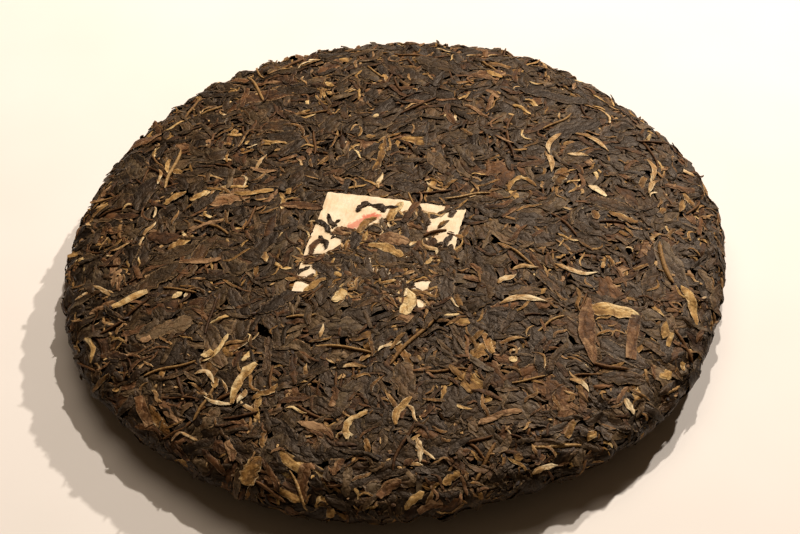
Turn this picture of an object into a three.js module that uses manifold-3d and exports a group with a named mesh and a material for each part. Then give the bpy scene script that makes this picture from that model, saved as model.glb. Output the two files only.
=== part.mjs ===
// A pressed round cake of pu erh tea with a square paper ticket under its top leaves.
// Lengths are in millimetres and +Z is up. The cake lies flat on the ring round its
// underside, with the pressing cloth's knot hollow in the middle of that side.

import * as THREE from "three";
import { mergeVertices } from "three/addons/utils/BufferGeometryUtils.js";
import Module from "manifold-3d";

// Driving sizes of the pressed surface, which is the level of the uppermost leaves
const cakeRadius = 100;
const crownHeight = 24;
const rimHeight = 10.5;
const domeDrop = 7;
const shoulderPower = 12;
const footOuterRadius = 76;
const footInnerRadius = 38;
const knotHollowDepth = 11;

// The outline of the cake isn't a true circle: waves as [count, rise, direction in degrees]
const outlineWaves = [
  [3, 0.5, 98],
  [5, 0.3, 53],
  [6, 0.7, 12],
  [7, 0.4, 5],
];

// The core lies below the pressed surface by the depth of the loose leaf relief
const leafRelief = 0.9;
const lumpRise = 0.25;
const lumpLength = 31;
const coreSegments = 44;
const topRings = 10;
const wallRings = 4;
const hollowRings = 4;
const profileSteps = 600;

// The paper ticket, seen from above
const ticketWidth = 43;
const ticketDepth = 42;
const ticketThickness = 0.35;
const ticketCentre = [-3.9, -11.9];
const ticketTurn = THREE.MathUtils.degToRad(-15);
const ticketGap = 0.3;
const ticketRipple = 0.12;
const ticketCells = 10;
const ticketMargin = 0.8;

// Leaves that are told apart by eye, on top of the cake:
// [x, y, heading in degrees, length, width, sideways bend as a share of the length]
const namedLeaves = [
  [61.1, -38.6, -8, 18, 5.2, 0.04],
  [52.3, -45.5, -97, 21, 6, 0.05],
  [66.3, -47, -106, 13, 2.6, -0.06],
  [-78.5, -22.7, 26, 12.5, 2, 0.03],
  [-43, -58.8, 70, 15, 3, -0.08],
  [52.3, 33.1, -115, 11, 2, -0.12],
  [50.3, 23.4, -87, 10, 1.9, 0.1],
  [79.3, -19.7, -86, 18, 5, 0.1],
  [85, -36.4, -79, 13, 3, 0.05],
  [65.6, 34.1, -46, 12.5, 1.9, 0.12],
  [36, -34.5, 2, 13, 2.2, 0.14],
  [26.6, -75.5, 19, 13, 2.4, 0.05],
  [55.1, 58.6, 166, 23, 5, 0.05],
  [-82.3, 52.4, 9, 17, 4.5, 0.06],
  [-27.6, 21, -15, 14, 4, 0.05],
  [-2.9, 28.5, -104, 14, 2.6, 0.08],
];

// Scattered leaves, the largest first: [how many, shortest, longest, narrowest, widest, bend]
const topLeaves = [
  [30, 16, 24, 5, 8, 0.08],
  [22, 11, 17, 3.2, 5, 0.1],
  [6, 8, 13, 2, 3, 0.18],
];
const rimLeaves = [
  [18, 14, 20, 4, 6, 0.05],
  [10, 10, 15, 2.6, 4, 0.08],
];
const undersideLeaves = [
  [6, 12, 17, 4, 6, 0.08],
];
const leafStations = 4;
const leafRise = 1.1;
const leafRiseSpread = 0.3;
const leafSink = 1.6;
const leafTilt = 0.3;
const tipDip = 0.95;
const rimTipLift = 1.3;
const placingTries = 24;
const sliverSize = 0.08;
const firstSeed = 20063;

const teaMaterial = new THREE.MeshStandardMaterial({ color: 0x3f3226, roughness: 0.8, metalness: 0 });
const paperMaterial = new THREE.MeshStandardMaterial({ color: 0xeddcc0, roughness: 0.85, metalness: 0 });

const wasm = await Module();
wasm.setup();

// A seeded draw between 0 and 1, so that the same leaves come out each time
function seededDraw(seed) {
  let state = seed >>> 0;
  return () => {
    state = (state + 0x6d2b79f5) >>> 0;
    let mixed = Math.imul(state ^ (state >>> 15), state | 1);
    mixed ^= mixed + Math.imul(mixed ^ (mixed >>> 7), mixed | 61);
    return ((mixed ^ (mixed >>> 14)) >>> 0) / 4294967296;
  };
}

const draw = seededDraw(firstSeed);

function drawBetween(low, high) {
  return low + (high - low) * draw();
}

// Height of the pressed surface at a radius, on the upper side
function upperHeight(radius) {
  const share = Math.min(radius / cakeRadius, 1);
  const rise = crownHeight - rimHeight - domeDrop * share ** 2;
  return rimHeight + rise * Math.sqrt(1 - share ** shoulderPower);
}

// Height of the underside at a radius: the knot hollow, the flat foot, the round lower edge
function lowerHeight(radius) {
  if (radius < footInnerRadius) {
    return (knotHollowDepth * (1 + Math.cos((Math.PI * radius) / footInnerRadius))) / 2;
  }
  const share = Math.max(radius - footOuterRadius, 0) / (cakeRadius - footOuterRadius);
  return rimHeight * (1 - Math.sqrt(Math.max(1 - share ** 2, 0)));
}

// The section of the pressed surface from the top's middle to the underside's middle
function sectionPoint(share) {
  if (share <= 0.5) {
    const radius = cakeRadius * Math.sin(Math.PI * share);
    return [radius, upperHeight(radius)];
  }
  const radius = cakeRadius * Math.sin(Math.PI * (1 - share));
  return [radius, lowerHeight(radius)];
}

// The same section as a table by distance along the surface, with its outward normal
function makeSection() {
  const rows = [];
  let run = 0;
  for (let i = 0; i <= profileSteps; i += 1) {
    const [radius, height] = sectionPoint(i / profileSteps);
    if (i > 0) {
      run += Math.hypot(radius - rows[i - 1].radius, height - rows[i - 1].height);
    }
    rows.push({ run, radius, height });
  }
  return rows;
}

const section = makeSection();
const rimRun = section[profileSteps / 2].run;
const footRun = section.find((row) => row.run > rimRun && row.radius < footOuterRadius).run;
const hollowRun = section.find((row) => row.run > rimRun && row.radius < footInnerRadius).run;

function sectionAt(run) {
  const wanted = THREE.MathUtils.clamp(run, 0, section[profileSteps].run - 0.001);
  let low = 0;
  let high = profileSteps;
  while (high - low > 1) {
    const middle = (low + high) >> 1;
    if (section[middle].run <= wanted) {
      low = middle;
    } else {
      high = middle;
    }
  }
  const before = section[low];
  const after = section[high];
  const length = after.run - before.run;
  const share = (wanted - before.run) / length;
  return {
    radius: THREE.MathUtils.lerp(before.radius, after.radius, share),
    height: THREE.MathUtils.lerp(before.height, after.height, share),
    outX: (before.height - after.height) / length,
    outZ: (after.radius - before.radius) / length,
  };
}

function outlineScale(angle) {
  let rise = 0;
  for (const [count, size, towards] of outlineWaves) {
    rise += size * Math.cos(count * (angle - THREE.MathUtils.degToRad(towards)));
  }
  return 1 + rise / cakeRadius;
}

// A point by its distance along the section, its direction and its height off the surface
function onCake(run, angle, off) {
  const at = sectionAt(run);
  const reach = at.radius * outlineScale(angle) + at.outX * off;
  return new THREE.Vector3(reach * Math.cos(angle), reach * Math.sin(angle), at.height + at.outZ * off);
}

// Slow lumps in the core, from uneven filling of the press
function lumps(x, y) {
  return lumpRise * (Math.sin(x / lumpLength + 0.7) * Math.sin(y / lumpLength) + Math.sin((x - y) / lumpLength));
}

// A closed mesh with shared corners becomes a solid
function solidFrom(geometry) {
  const bare = geometry.clone();
  bare.deleteAttribute("normal");
  bare.deleteAttribute("uv");
  const merged = mergeVertices(bare, 1e-4);
  const corners = merged.index.array;
  const kept = [];
  for (let i = 0; i < corners.length; i += 3) {
    const [a, b, c] = [corners[i], corners[i + 1], corners[i + 2]];
    if (a !== b && b !== c && c !== a) {
      kept.push(a, b, c);
    }
  }
  const vertProperties = new Float32Array(merged.attributes.position.array);
  return new wasm.Manifold(new wasm.Mesh({ numProp: 3, vertProperties, triVerts: new Uint32Array(kept) }));
}

function geometryFrom(solid) {
  const mesh = solid.getMesh();
  const geometry = new THREE.BufferGeometry();
  geometry.setAttribute("position", new THREE.BufferAttribute(new Float32Array(mesh.vertProperties), 3));
  geometry.setIndex(new THREE.BufferAttribute(new Uint32Array(mesh.triVerts), 1));
  geometry.computeVertexNormals();
  return geometry;
}

// The pressed core: a lathe of the section, set in by the leaf relief except on its foot
function coreGeometry() {
  const points = [];
  const bottomRun = section[profileSteps].run;
  const addAt = (run) => {
    const at = sectionAt(run);
    const onFoot = run >= footRun && run <= hollowRun;
    const off = onFoot ? 0 : -leafRelief;
    const height = onFoot ? 0 : at.height + at.outZ * off;
    points.push(new THREE.Vector2(Math.max(at.radius + at.outX * off, 0), height));
  };
  for (let i = topRings; i >= 1; i -= 1) {
    const radius = cakeRadius * Math.sin((Math.PI / 2) * (1 - i / topRings));
    addAt(section.find((row) => row.radius >= radius).run);
  }
  for (let i = 0; i < wallRings; i += 1) {
    addAt(rimRun + ((footRun - rimRun) * i) / wallRings);
  }
  addAt(footRun);
  addAt(hollowRun);
  for (let i = 1; i <= hollowRings; i += 1) {
    addAt(hollowRun + ((bottomRun - hollowRun) * i) / hollowRings);
  }
  points[0].x = 0;
  points[points.length - 1].x = 0;
  const lathe = new THREE.LatheGeometry(points.reverse(), coreSegments);
  const spot = lathe.attributes.position;
  for (let i = 0; i < spot.count; i += 1) {
    // The lathe turns about Y, so Y becomes the height
    const x = spot.getZ(i);
    const y = spot.getX(i);
    const height = spot.getY(i);
    const scale = outlineScale(Math.atan2(y, x));
    const lump = height > rimHeight ? lumps(x, y) : 0;
    spot.setXYZ(i, x * scale, y * scale, height + lump);
  }
  return lathe;
}

// One leaf: a thin wavy strip whose upper and lower faces are split into triangles alike.
// The place function turns a point beside the leaf's middle into a point of the cake.
function leafGeometry(leaf, place) {
  const upper = [];
  const lower = [];
  const phase = drawBetween(0, Math.PI * 2);
  const rise = leafRise + drawBetween(-leafRiseSpread, leafRiseSpread);
  const tilt = drawBetween(-leafTilt, leafTilt);
  for (let i = 0; i <= leafStations; i += 1) {
    const share = i / leafStations;
    const along = (share - 0.5) * leaf.length;
    const side = leaf.bend * leaf.length * 4 * share * (1 - share);
    const half = (leaf.width / 2) * Math.sin(Math.PI * (0.14 + 0.74 * share)) ** 0.8;
    const ends = Math.abs(2 * share - 1) ** 4;
    const wave = 0.25 * Math.sin(phase + 5 * share);
    for (const across of [-1, 0, 1]) {
      const fold = across === 0 ? 0.3 : -0.2;
      const top = rise - leafRelief + wave + fold + tilt * across - ends * leaf.dip;
      const spotAlong = along * Math.cos(leaf.heading) - (side + across * half) * Math.sin(leaf.heading);
      const spotAcross = along * Math.sin(leaf.heading) + (side + across * half) * Math.cos(leaf.heading);
      upper.push(place(spotAlong, spotAcross, top));
      lower.push(place(spotAlong, spotAcross, Math.min(top - 0.6, -leafSink - leafRelief + (leaf.free ?? 0) * ends)));
    }
  }
  return stripGeometry(upper, lower, leafStations, 2);
}

// A closed sheet from matching grids of upper and lower points
function stripGeometry(upper, lower, cellsAlong, cellsAcross) {
  const row = cellsAcross + 1;
  const corners = [];
  const at = (i, j) => i * row + j;
  const below = upper.length;
  for (let i = 0; i < cellsAlong; i += 1) {
    for (let j = 0; j < cellsAcross; j += 1) {
      const [a, b, c, d] = [at(i, j), at(i + 1, j), at(i + 1, j + 1), at(i, j + 1)];
      corners.push(a, b, c, a, c, d);
      corners.push(below + a, below + c, below + b, below + a, below + d, below + c);
    }
  }
  const wall = (from, to) => {
    corners.push(from, below + from, below + to, from, below + to, to);
  };
  for (let i = 0; i < cellsAlong; i += 1) {
    wall(at(i, 0), at(i + 1, 0));
    wall(at(i + 1, cellsAcross), at(i, cellsAcross));
  }
  for (let j = 0; j < cellsAcross; j += 1) {
    wall(at(0, j + 1), at(0, j));
    wall(at(cellsAlong, j), at(cellsAlong, j + 1));
  }
  const geometry = new THREE.BufferGeometry();
  const numbers = [...upper, ...lower].flatMap((point) => point.toArray());
  geometry.setAttribute("position", new THREE.Float32BufferAttribute(numbers, 3));
  geometry.setIndex(corners);
  return geometry;
}

// Places on the upper side use a flat sheet that is wrapped over the cake from its middle
function topPlace(x, y) {
  return (alongX, alongY, off) => {
    const flatX = x + alongX;
    const flatY = y + alongY;
    return onCake(Math.hypot(flatX, flatY), Math.atan2(flatY, flatX), off);
  };
}

// Places on the rim and the underside: first clockwise along the rim, then down the section
function sidePlace(run, angle) {
  return (alongRim, downSection, off) => {
    const at = sectionAt(run + downSection);
    return onCake(run + downSection, angle - alongRim / Math.max(at.radius, 1), off);
  };
}

function ticketSpot(x, y) {
  const dx = x - ticketCentre[0];
  const dy = y - ticketCentre[1];
  return [
    dx * Math.cos(ticketTurn) + dy * Math.sin(ticketTurn),
    -dx * Math.sin(ticketTurn) + dy * Math.cos(ticketTurn),
  ];
}

function meetsTicket(x, y, heading, length, width) {
  for (let i = 0; i <= 8; i += 1) {
    const along = (i / 8 - 0.5) * length;
    for (const across of [-0.6, 0, 0.6]) {
      const [u, v] = ticketSpot(
        x + along * Math.cos(heading) - across * width * Math.sin(heading),
        y + along * Math.sin(heading) + across * width * Math.cos(heading),
      );
      if (Math.abs(u) < ticketWidth / 2 + ticketMargin && Math.abs(v) < ticketDepth / 2 + ticketMargin) {
        return true;
      }
    }
  }
  return false;
}

// Of several drawn places, the one farthest from the leaves already laid
function roomiest(laid, drawPlace) {
  let best = null;
  let bestRoom = -1;
  for (let i = 0; i < placingTries; i += 1) {
    const place = drawPlace();
    if (place === null) {
      continue;
    }
    let room = Infinity;
    for (const other of laid) {
      room = Math.min(room, place.point.distanceTo(other));
    }
    if (room > bestRoom) {
      bestRoom = room;
      best = place;
    }
  }
  return best;
}

function layLeaves() {
  const leaves = [];
  const laid = [];
  for (const [x, y, degrees, length, width, bend] of namedLeaves) {
    const heading = THREE.MathUtils.degToRad(degrees);
    leaves.push(leafGeometry({ length, width, bend, heading, dip: tipDip }, topPlace(x, y)));
    laid.push(onCake(Math.hypot(x, y), Math.atan2(y, x), 0));
  }
  const scatter = (groups, drawPlace) => {
    for (const [count, shortest, longest, narrowest, widest, bend] of groups) {
      for (let i = 0; i < count; i += 1) {
        const leaf = {
          length: drawBetween(shortest, longest),
          width: drawBetween(narrowest, widest),
          bend: drawBetween(-bend, bend),
          dip: tipDip,
        };
        const spot = roomiest(laid, () => drawPlace(leaf));
        if (spot !== null) {
          leaves.push(leafGeometry({ ...leaf, ...spot.leaf }, spot.place));
          laid.push(spot.point);
        }
      }
    }
  };
  scatter(topLeaves, (leaf) => {
    const reach = (rimRun - 14) * Math.sqrt(draw());
    const angle = drawBetween(0, Math.PI * 2);
    const heading = drawBetween(0, Math.PI);
    const [x, y] = [reach * Math.cos(angle), reach * Math.sin(angle)];
    if (meetsTicket(x, y, heading, leaf.length, leaf.width)) {
      return null;
    }
    return { point: onCake(reach, angle, 0), place: topPlace(x, y), leaf: { heading } };
  });
  scatter(rimLeaves, () => {
    const run = drawBetween(rimRun - 9, rimRun + 12);
    const angle = drawBetween(0, Math.PI * 2);
    const dip = draw() < 0.4 ? -rimTipLift : tipDip;
    return {
      point: onCake(run, angle, 0),
      place: sidePlace(run, angle),
      leaf: { heading: drawBetween(-0.6, 0.6), dip, free: dip < 0 ? leafSink : 0 },
    };
  });
  scatter(undersideLeaves, () => {
    const inHollow = draw() < 0.5;
    const run = inHollow ? drawBetween(hollowRun + 9, hollowRun + 18) : drawBetween(rimRun + 12, footRun - 7);
    const angle = drawBetween(0, Math.PI * 2);
    return {
      point: onCake(run, angle, 0),
      place: sidePlace(run, angle),
      leaf: { heading: drawBetween(-0.25, 0.25) },
    };
  });
  return leaves;
}

// The cake: its core with the showing leaves joined on, cut level with its foot.
// Slivers along the joins are closed, its corners are merged once more, and only the one
// large body is kept, so sealed hollows are filled and loose scraps go.
function makeCake() {
  let cake = solidFrom(coreGeometry());
  for (const leaf of layLeaves()) {
    cake = cake.add(solidFrom(leaf));
  }
  const under = new THREE.BoxGeometry(3 * cakeRadius, 3 * cakeRadius, crownHeight);
  under.translate(0, 0, -crownHeight / 2);
  const level = solidFrom(geometryFrom(cake.subtract(solidFrom(under)).simplify(sliverSize)));
  const bodies = level.decompose();
  bodies.sort((one, other) => other.volume() - one.volume());
  return new THREE.Mesh(geometryFrom(bodies[0]), teaMaterial);
}

// The ticket: a thin sheet that follows the core, a little clear of it
function makeTicket() {
  const upper = [];
  const lower = [];
  for (let i = 0; i <= ticketCells; i += 1) {
    for (let j = 0; j <= ticketCells; j += 1) {
      const u = (i / ticketCells - 0.5) * ticketWidth;
      const v = (j / ticketCells - 0.5) * ticketDepth;
      const x = ticketCentre[0] + u * Math.cos(ticketTurn) - v * Math.sin(ticketTurn);
      const y = ticketCentre[1] + u * Math.sin(ticketTurn) + v * Math.cos(ticketTurn);
      const ripple = ticketRipple * (1 + Math.sin(u / 5) * Math.sin(v / 6 + 1));
      const floor = upperHeight(Math.hypot(x, y)) - leafRelief + lumps(x, y) + ticketGap + ripple;
      upper.push(new THREE.Vector3(x, y, floor + ticketThickness));
      lower.push(new THREE.Vector3(x, y, floor));
    }
  }
  return new THREE.Mesh(stripGeometry(upper, lower, ticketCells, ticketCells), paperMaterial);
}

const teaCake = makeCake();
teaCake.name = "tea_cake";

const paperTicket = makeTicket();
paperTicket.name = "paper_ticket";

// The origin is under the middle of the cake's box, on its foot
const cakeOnTicket = new THREE.Group();
cakeOnTicket.add(teaCake, paperTicket);
const box = new THREE.Box3().setFromObject(cakeOnTicket);
cakeOnTicket.position.set(-(box.min.x + box.max.x) / 2, -(box.min.y + box.max.y) / 2, -box.min.z);

export default cakeOnTicket;
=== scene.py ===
# A pressed round cake of pu erh tea with a square paper ticket under its top leaves.
# Leaves are laid one by one against the pressed surface, the uppermost first; each later
# leaf dives under those already there, so the cake is a flush mosaic with dark gaps.
import math

import bpy
import numpy as np
from mathutils import Matrix, Vector


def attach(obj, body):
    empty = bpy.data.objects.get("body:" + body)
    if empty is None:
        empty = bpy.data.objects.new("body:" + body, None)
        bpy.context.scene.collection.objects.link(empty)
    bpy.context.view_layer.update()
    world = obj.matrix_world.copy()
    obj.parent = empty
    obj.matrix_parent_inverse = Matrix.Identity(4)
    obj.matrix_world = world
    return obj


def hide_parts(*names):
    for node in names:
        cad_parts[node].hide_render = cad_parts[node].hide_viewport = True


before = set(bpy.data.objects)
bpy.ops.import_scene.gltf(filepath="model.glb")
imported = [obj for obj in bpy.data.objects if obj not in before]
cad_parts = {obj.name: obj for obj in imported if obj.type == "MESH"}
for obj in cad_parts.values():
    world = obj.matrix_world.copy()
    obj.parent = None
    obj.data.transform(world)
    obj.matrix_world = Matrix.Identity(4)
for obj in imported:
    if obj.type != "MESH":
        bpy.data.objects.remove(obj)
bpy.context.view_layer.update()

# Lengths are in millimetres here, and MM turns them to metres when a mesh is made
MM = 0.001
DEG = math.pi / 180

# The pressed surface, as in the solid: its section turned round the cake's axis
CAKE_RADIUS = 100.0
CROWN_HEIGHT = 24.0
RIM_HEIGHT = 10.5
DOME_DROP = 7.0
SHOULDER_POWER = 12
FOOT_OUTER_RADIUS = 76.0
FOOT_INNER_RADIUS = 38.0
KNOT_HOLLOW_DEPTH = 11.0
AXIS = (0.163, 0.145)
# Slow waves of the outline: how many round the rim, their rise and their direction
OUTLINE_WAVES = ((3, 0.5, 98), (5, 0.3, 53), (6, 0.7, 12), (7, 0.4, 5))
LUMP_RISE = 0.25
LUMP_LENGTH = 31.0
SECTION_STEPS = 800
# Small bumps of the rim, from the leaves' own uneven packing: directions, phases, lengths and rise
BUMP_WAYS = np.random.default_rng(11).normal(size=(10, 4))
BUMP_LENGTHS = np.linspace(5.0, 11.0, 10)
BUMP_RISE = 0.15
# The band in which the flat top's packing turns into the rim's
RIM_BAND = 14.0
BUMPS_FROM = 80.0

# The paper ticket, as in the solid
TICKET_WIDTH = 43.0
TICKET_DEPTH = 42.0
TICKET_CENTRE = (-3.9, -11.9)
TICKET_TURN = -15 * DEG

# The photo's camera: its distance, tilt, roll and aim, fitted to the cake's outline
CAMERA_DISTANCE = 500.0
CAMERA_TILT = 45.43 * DEG
CAMERA_ROLL = -3.22 * DEG
CAMERA_AIM = (1.6, -9.1, 12.0)
CAMERA_LENS = 74.9

RNG = np.random.default_rng(357)


def hex_linear(code):
    """An sRGB hex colour as linear red, green, blue and alpha."""
    parts = [int(code[i:i + 2], 16) / 255 for i in (1, 3, 5)]
    line = [p / 12.92 if p <= 0.04045 else ((p + 0.055) / 1.055) ** 2.4 for p in parts]
    return (*line, 1.0)


# The section of the pressed surface


def upper_height(radius):
    share = np.minimum(radius / CAKE_RADIUS, 1)
    rise = CROWN_HEIGHT - RIM_HEIGHT - DOME_DROP * share ** 2
    return RIM_HEIGHT + rise * np.sqrt(1 - share ** SHOULDER_POWER)


def lower_height(radius):
    share = np.maximum(radius - FOOT_OUTER_RADIUS, 0) / (CAKE_RADIUS - FOOT_OUTER_RADIUS)
    edge = RIM_HEIGHT * (1 - np.sqrt(np.maximum(1 - share ** 2, 0)))
    hollow = KNOT_HOLLOW_DEPTH * (1 + np.cos(math.pi * radius / FOOT_INNER_RADIUS)) / 2
    return np.where(radius < FOOT_INNER_RADIUS, hollow, edge)


def make_section():
    """The section by distance along it, from the top's middle to the underside's middle."""
    turn = np.linspace(0, math.pi, 2 * SECTION_STEPS + 1)
    radius = CAKE_RADIUS * np.sin(turn)
    height = np.where(turn <= math.pi / 2, upper_height(radius), lower_height(radius))
    run = np.concatenate([[0], np.cumsum(np.hypot(np.diff(radius), np.diff(height)))])
    out_r = -np.gradient(height, run)
    out_z = np.gradient(radius, run)
    size = np.hypot(out_r, out_z)
    return run, radius, height, out_r / size, out_z / size


RUN, RADIUS, HEIGHT, OUT_R, OUT_Z = make_section()
FULL_RUN = RUN[-1]
RIM_RUN = RUN[SECTION_STEPS]


def outline_scale(angle):
    rise = sum(size * np.cos(count * (angle - towards * DEG)) for count, size, towards in OUTLINE_WAVES)
    return 1 + rise / CAKE_RADIUS


def lumps(x, y):
    """Slow lumps of the top, from uneven filling of the press."""
    waves = np.sin(x / LUMP_LENGTH + 0.7) * np.sin(y / LUMP_LENGTH) + np.sin((x - y) / LUMP_LENGTH)
    return LUMP_RISE * waves


def rim_bumps(radius, angle, height):
    x, y = radius * np.cos(angle), radius * np.sin(angle)
    rise = np.zeros(np.shape(x))
    for (way_x, way_y, way_z, phase), length in zip(BUMP_WAYS, BUMP_LENGTHS):
        pace = 2 * math.pi / length / math.sqrt(way_x ** 2 + way_y ** 2 + way_z ** 2)
        rise += BUMP_RISE * np.sin(pace * (way_x * x + way_y * y + way_z * height) + 3 * phase)
    return rise * np.clip((radius - BUMPS_FROM) / RIM_BAND, 0, 1)


def on_cake(run, angle, off):
    """Points by distance along the section, direction and height off the surface."""
    radius = np.interp(run, RUN, RADIUS)
    height = np.interp(run, RUN, HEIGHT)
    out_r = np.interp(run, RUN, OUT_R)
    out_z = np.interp(run, RUN, OUT_Z)
    off = off + rim_bumps(radius, angle, height)
    reach = radius * outline_scale(angle) + out_r * off
    x, y = reach * np.cos(angle), reach * np.sin(angle)
    top_share = np.clip((RIM_RUN - run) / 12, 0, 1)
    z = height + out_z * off + lumps(x, y) * top_share
    return np.stack([x + AXIS[0], y + AXIS[1], z], -1)


# Meshes


def put(name, data):
    """Adds an object to the scene, at the origin."""
    made = bpy.data.objects.new(name, data)
    bpy.context.scene.collection.objects.link(made)
    return made


def mesh_piece(name, points, faces, uv_maps=(), tint=None, smooth_angle=50):
    """A piece from arrays: points in millimetres, faces of three or four corners."""
    mesh = bpy.data.meshes.new(name)
    sizes = np.concatenate([np.full(len(f), f.shape[1], np.int32) for f in faces])
    corners = np.concatenate([f.ravel() for f in faces]).astype(np.int32)
    mesh.vertices.add(len(points))
    mesh.vertices.foreach_set("co", (points * MM).astype(np.float32).ravel())
    mesh.loops.add(len(corners))
    mesh.loops.foreach_set("vertex_index", corners)
    mesh.polygons.add(len(sizes))
    mesh.polygons.foreach_set("loop_start", np.concatenate([[0], np.cumsum(sizes)[:-1]]).astype(np.int32))
    mesh.update(calc_edges=True)
    for uv_name, values in uv_maps:
        layer = mesh.uv_layers.new(name=uv_name)
        layer.data.foreach_set("uv", values.astype(np.float32).ravel())
    if tint is not None:
        layer = mesh.attributes.new("tint", "FLOAT_COLOR", "POINT")
        layer.data.foreach_set("color", tint.astype(np.float32).ravel())
    mesh.polygons.foreach_set("use_smooth", np.ones(len(sizes), bool))
    mesh.set_sharp_from_angle(angle=smooth_angle * DEG)
    mesh.validate()
    return put(name, mesh)


# Leaves

# Leaf shapes by kind: steps along, rows across, bend, sway, fullness, roughness of edge, roundness
SHAPES = {
    "blade": dict(steps=10, rows=7, bend=0.05, sway=0.02, full=(0.28, 0.8), rough=0.15, round=0.0),
    "strip": dict(steps=9, rows=5, bend=0.08, sway=0.025, full=(0.15, 0.6), rough=0.18, round=0.04),
    "twist": dict(steps=9, rows=5, bend=0.1, sway=0.04, full=(0.2, 0.65), rough=0.17, round=0.13),
    "bud": dict(steps=8, rows=5, bend=0.13, sway=0.035, full=(0.6, 0.95), rough=0.16, round=0.16),
    "sliver": dict(steps=6, rows=3, bend=0.14, sway=0.05, full=(0.15, 0.7), rough=0.22, round=0.14),
    "stem": dict(steps=10, rows=3, bend=0.05, sway=0.02, full=(0.1, 0.2), rough=0.06, round=0.5),
    "band": dict(steps=5, rows=5, bend=0.02, sway=0.01, full=(0.03, 0.1), rough=0.07, round=0.03),
    "chip": dict(steps=4, rows=5, bend=0.04, sway=0.0, full=(0.3, 0.7), rough=0.22, round=0.05),
}


def leaf_form(kind, length, width, bend=None, flat=1.0, draw=RNG):
    """One leaf of a kind, flat: its line, edges, relief and thickness, before it is laid."""
    shape = SHAPES[kind]
    steps = shape["steps"]
    t = np.linspace(0, 1, steps + 1)
    across = np.linspace(-1, 1, shape["rows"])
    if bend is None:
        bend = draw.normal(0, shape["bend"])
    side = length * (4 * bend * t * (1 - t) + draw.normal(0, shape["sway"]) * np.sin(2 * math.pi * t))
    line = np.stack([(t - 0.5) * length, side - side.mean()], -1)
    ahead = np.gradient(line, axis=0)
    ahead /= np.linalg.norm(ahead, axis=1, keepdims=True)
    left = np.stack([-ahead[:, 1], ahead[:, 0]], -1)
    blunt = draw.uniform(0.0, 0.2, 2)
    if kind == "bud":
        blunt = np.array([0.12, 0.0])
    reach = blunt[0] + t * (1 - blunt.sum())
    outline = np.maximum(np.sin(math.pi * reach), 0) ** draw.uniform(*shape["full"])
    outline = outline / outline.max()
    edges = [0.5 * width * outline * (1 + shape["rough"] * draw.normal(0, 1, steps + 1)) for _ in (0, 1)]
    closing = np.ones(steps + 1)
    closing[0], closing[-1] = draw.uniform(0.2, 0.85, 2) if kind != "band" else draw.uniform(0.8, 0.95, 2)
    edges = [np.maximum(e * closing, 0.08) for e in edges]
    a, tt = np.meshgrid(across, t)
    phase = draw.uniform(0, 2 * math.pi, 4)
    rise = shape["round"] * width
    relief = rise * (1 - np.sqrt(1 - np.minimum(np.abs(a), 0.97) ** 2))
    thick = 0.07 + 0.13 * (1 - a ** 2) + rise * np.sqrt(1 - (0.9 * a) ** 2)
    if kind in ("blade", "strip", "band"):
        pleats, drift = draw.uniform(0.6, 1.2) * width / 3.5, draw.uniform(-0.8, 0.8)
        relief += draw.uniform(0.05, 0.2) * np.abs(np.sin(math.pi * (pleats * a / 2 + drift * tt) + phase[0]))
        relief += draw.uniform(0.0, 0.15) * np.abs(a - draw.uniform(-0.5, 0.5)) ** 1.4
        relief += draw.uniform(0.03, 0.1) * (
            1 + np.sin(length / 5 * tt * draw.uniform(1.5, 4) + phase[1] + 1.5 * a))
        relief += draw.normal(0, 0.03, a.shape)
        if draw.random() < 0.4:
            turned_up = np.clip((a * draw.choice([-1, 1]) - 0.5) / 0.5, 0, 1)
            relief -= draw.uniform(0.08, 0.3) * turned_up ** 1.5 * np.sin(math.pi * tt) ** 0.5
    elif kind == "chip":
        relief += draw.uniform(-0.2, 0.2) * a + draw.uniform(-0.15, 0.15) * tt
    else:
        relief += rise * 0.6 * (1 - outline[:, None])
    if kind == "twist":
        relief += 0.1 * width * (1 + np.sin(2 * math.pi * draw.uniform(0.6, 2.2) * tt + 1.8 * a + phase[2]))
    relief = flat * (relief - relief.min())
    fade = draw.normal(0.4, 0.2) if kind == "bud" else draw.normal(0, 0.25)
    tint = fade * (tt - 0.5) + draw.normal(0, 0.1) * a + draw.normal(0, 0.07, a.shape)
    return dict(kind=kind, t=t, across=across, line=line, left=left, edges=edges, relief=relief,
                thick=thick * flat, length=length, width=width, tint=tint)


def between(positions, count):
    """Weights that read a row of values at count even places."""
    weights = np.zeros((count, positions))
    spots = np.linspace(0, positions - 1, count)
    low = np.minimum(spots.astype(int), positions - 2)
    share = spots - low
    weights[np.arange(count), low] = 1 - share
    weights[np.arange(count), low + 1] += share
    return weights


# How deep the lowest leaves dive, and how finely a leaf is sampled on the map
DEEPEST_DIVE = 2.6
SAMPLE_STEP = 0.36
# A leaf's two lower rows lie at this share of its half width
LOWER_ROWS_AT = 0.55
# Painted shade on the cake's side: where its darker leaves start, above and below the rim, and their band
SHADE_ABOVE_RIM, SHADE_BELOW_RIM, PAINTED_SHADE_BAND = 3.0, 18.0, 7.0


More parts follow.
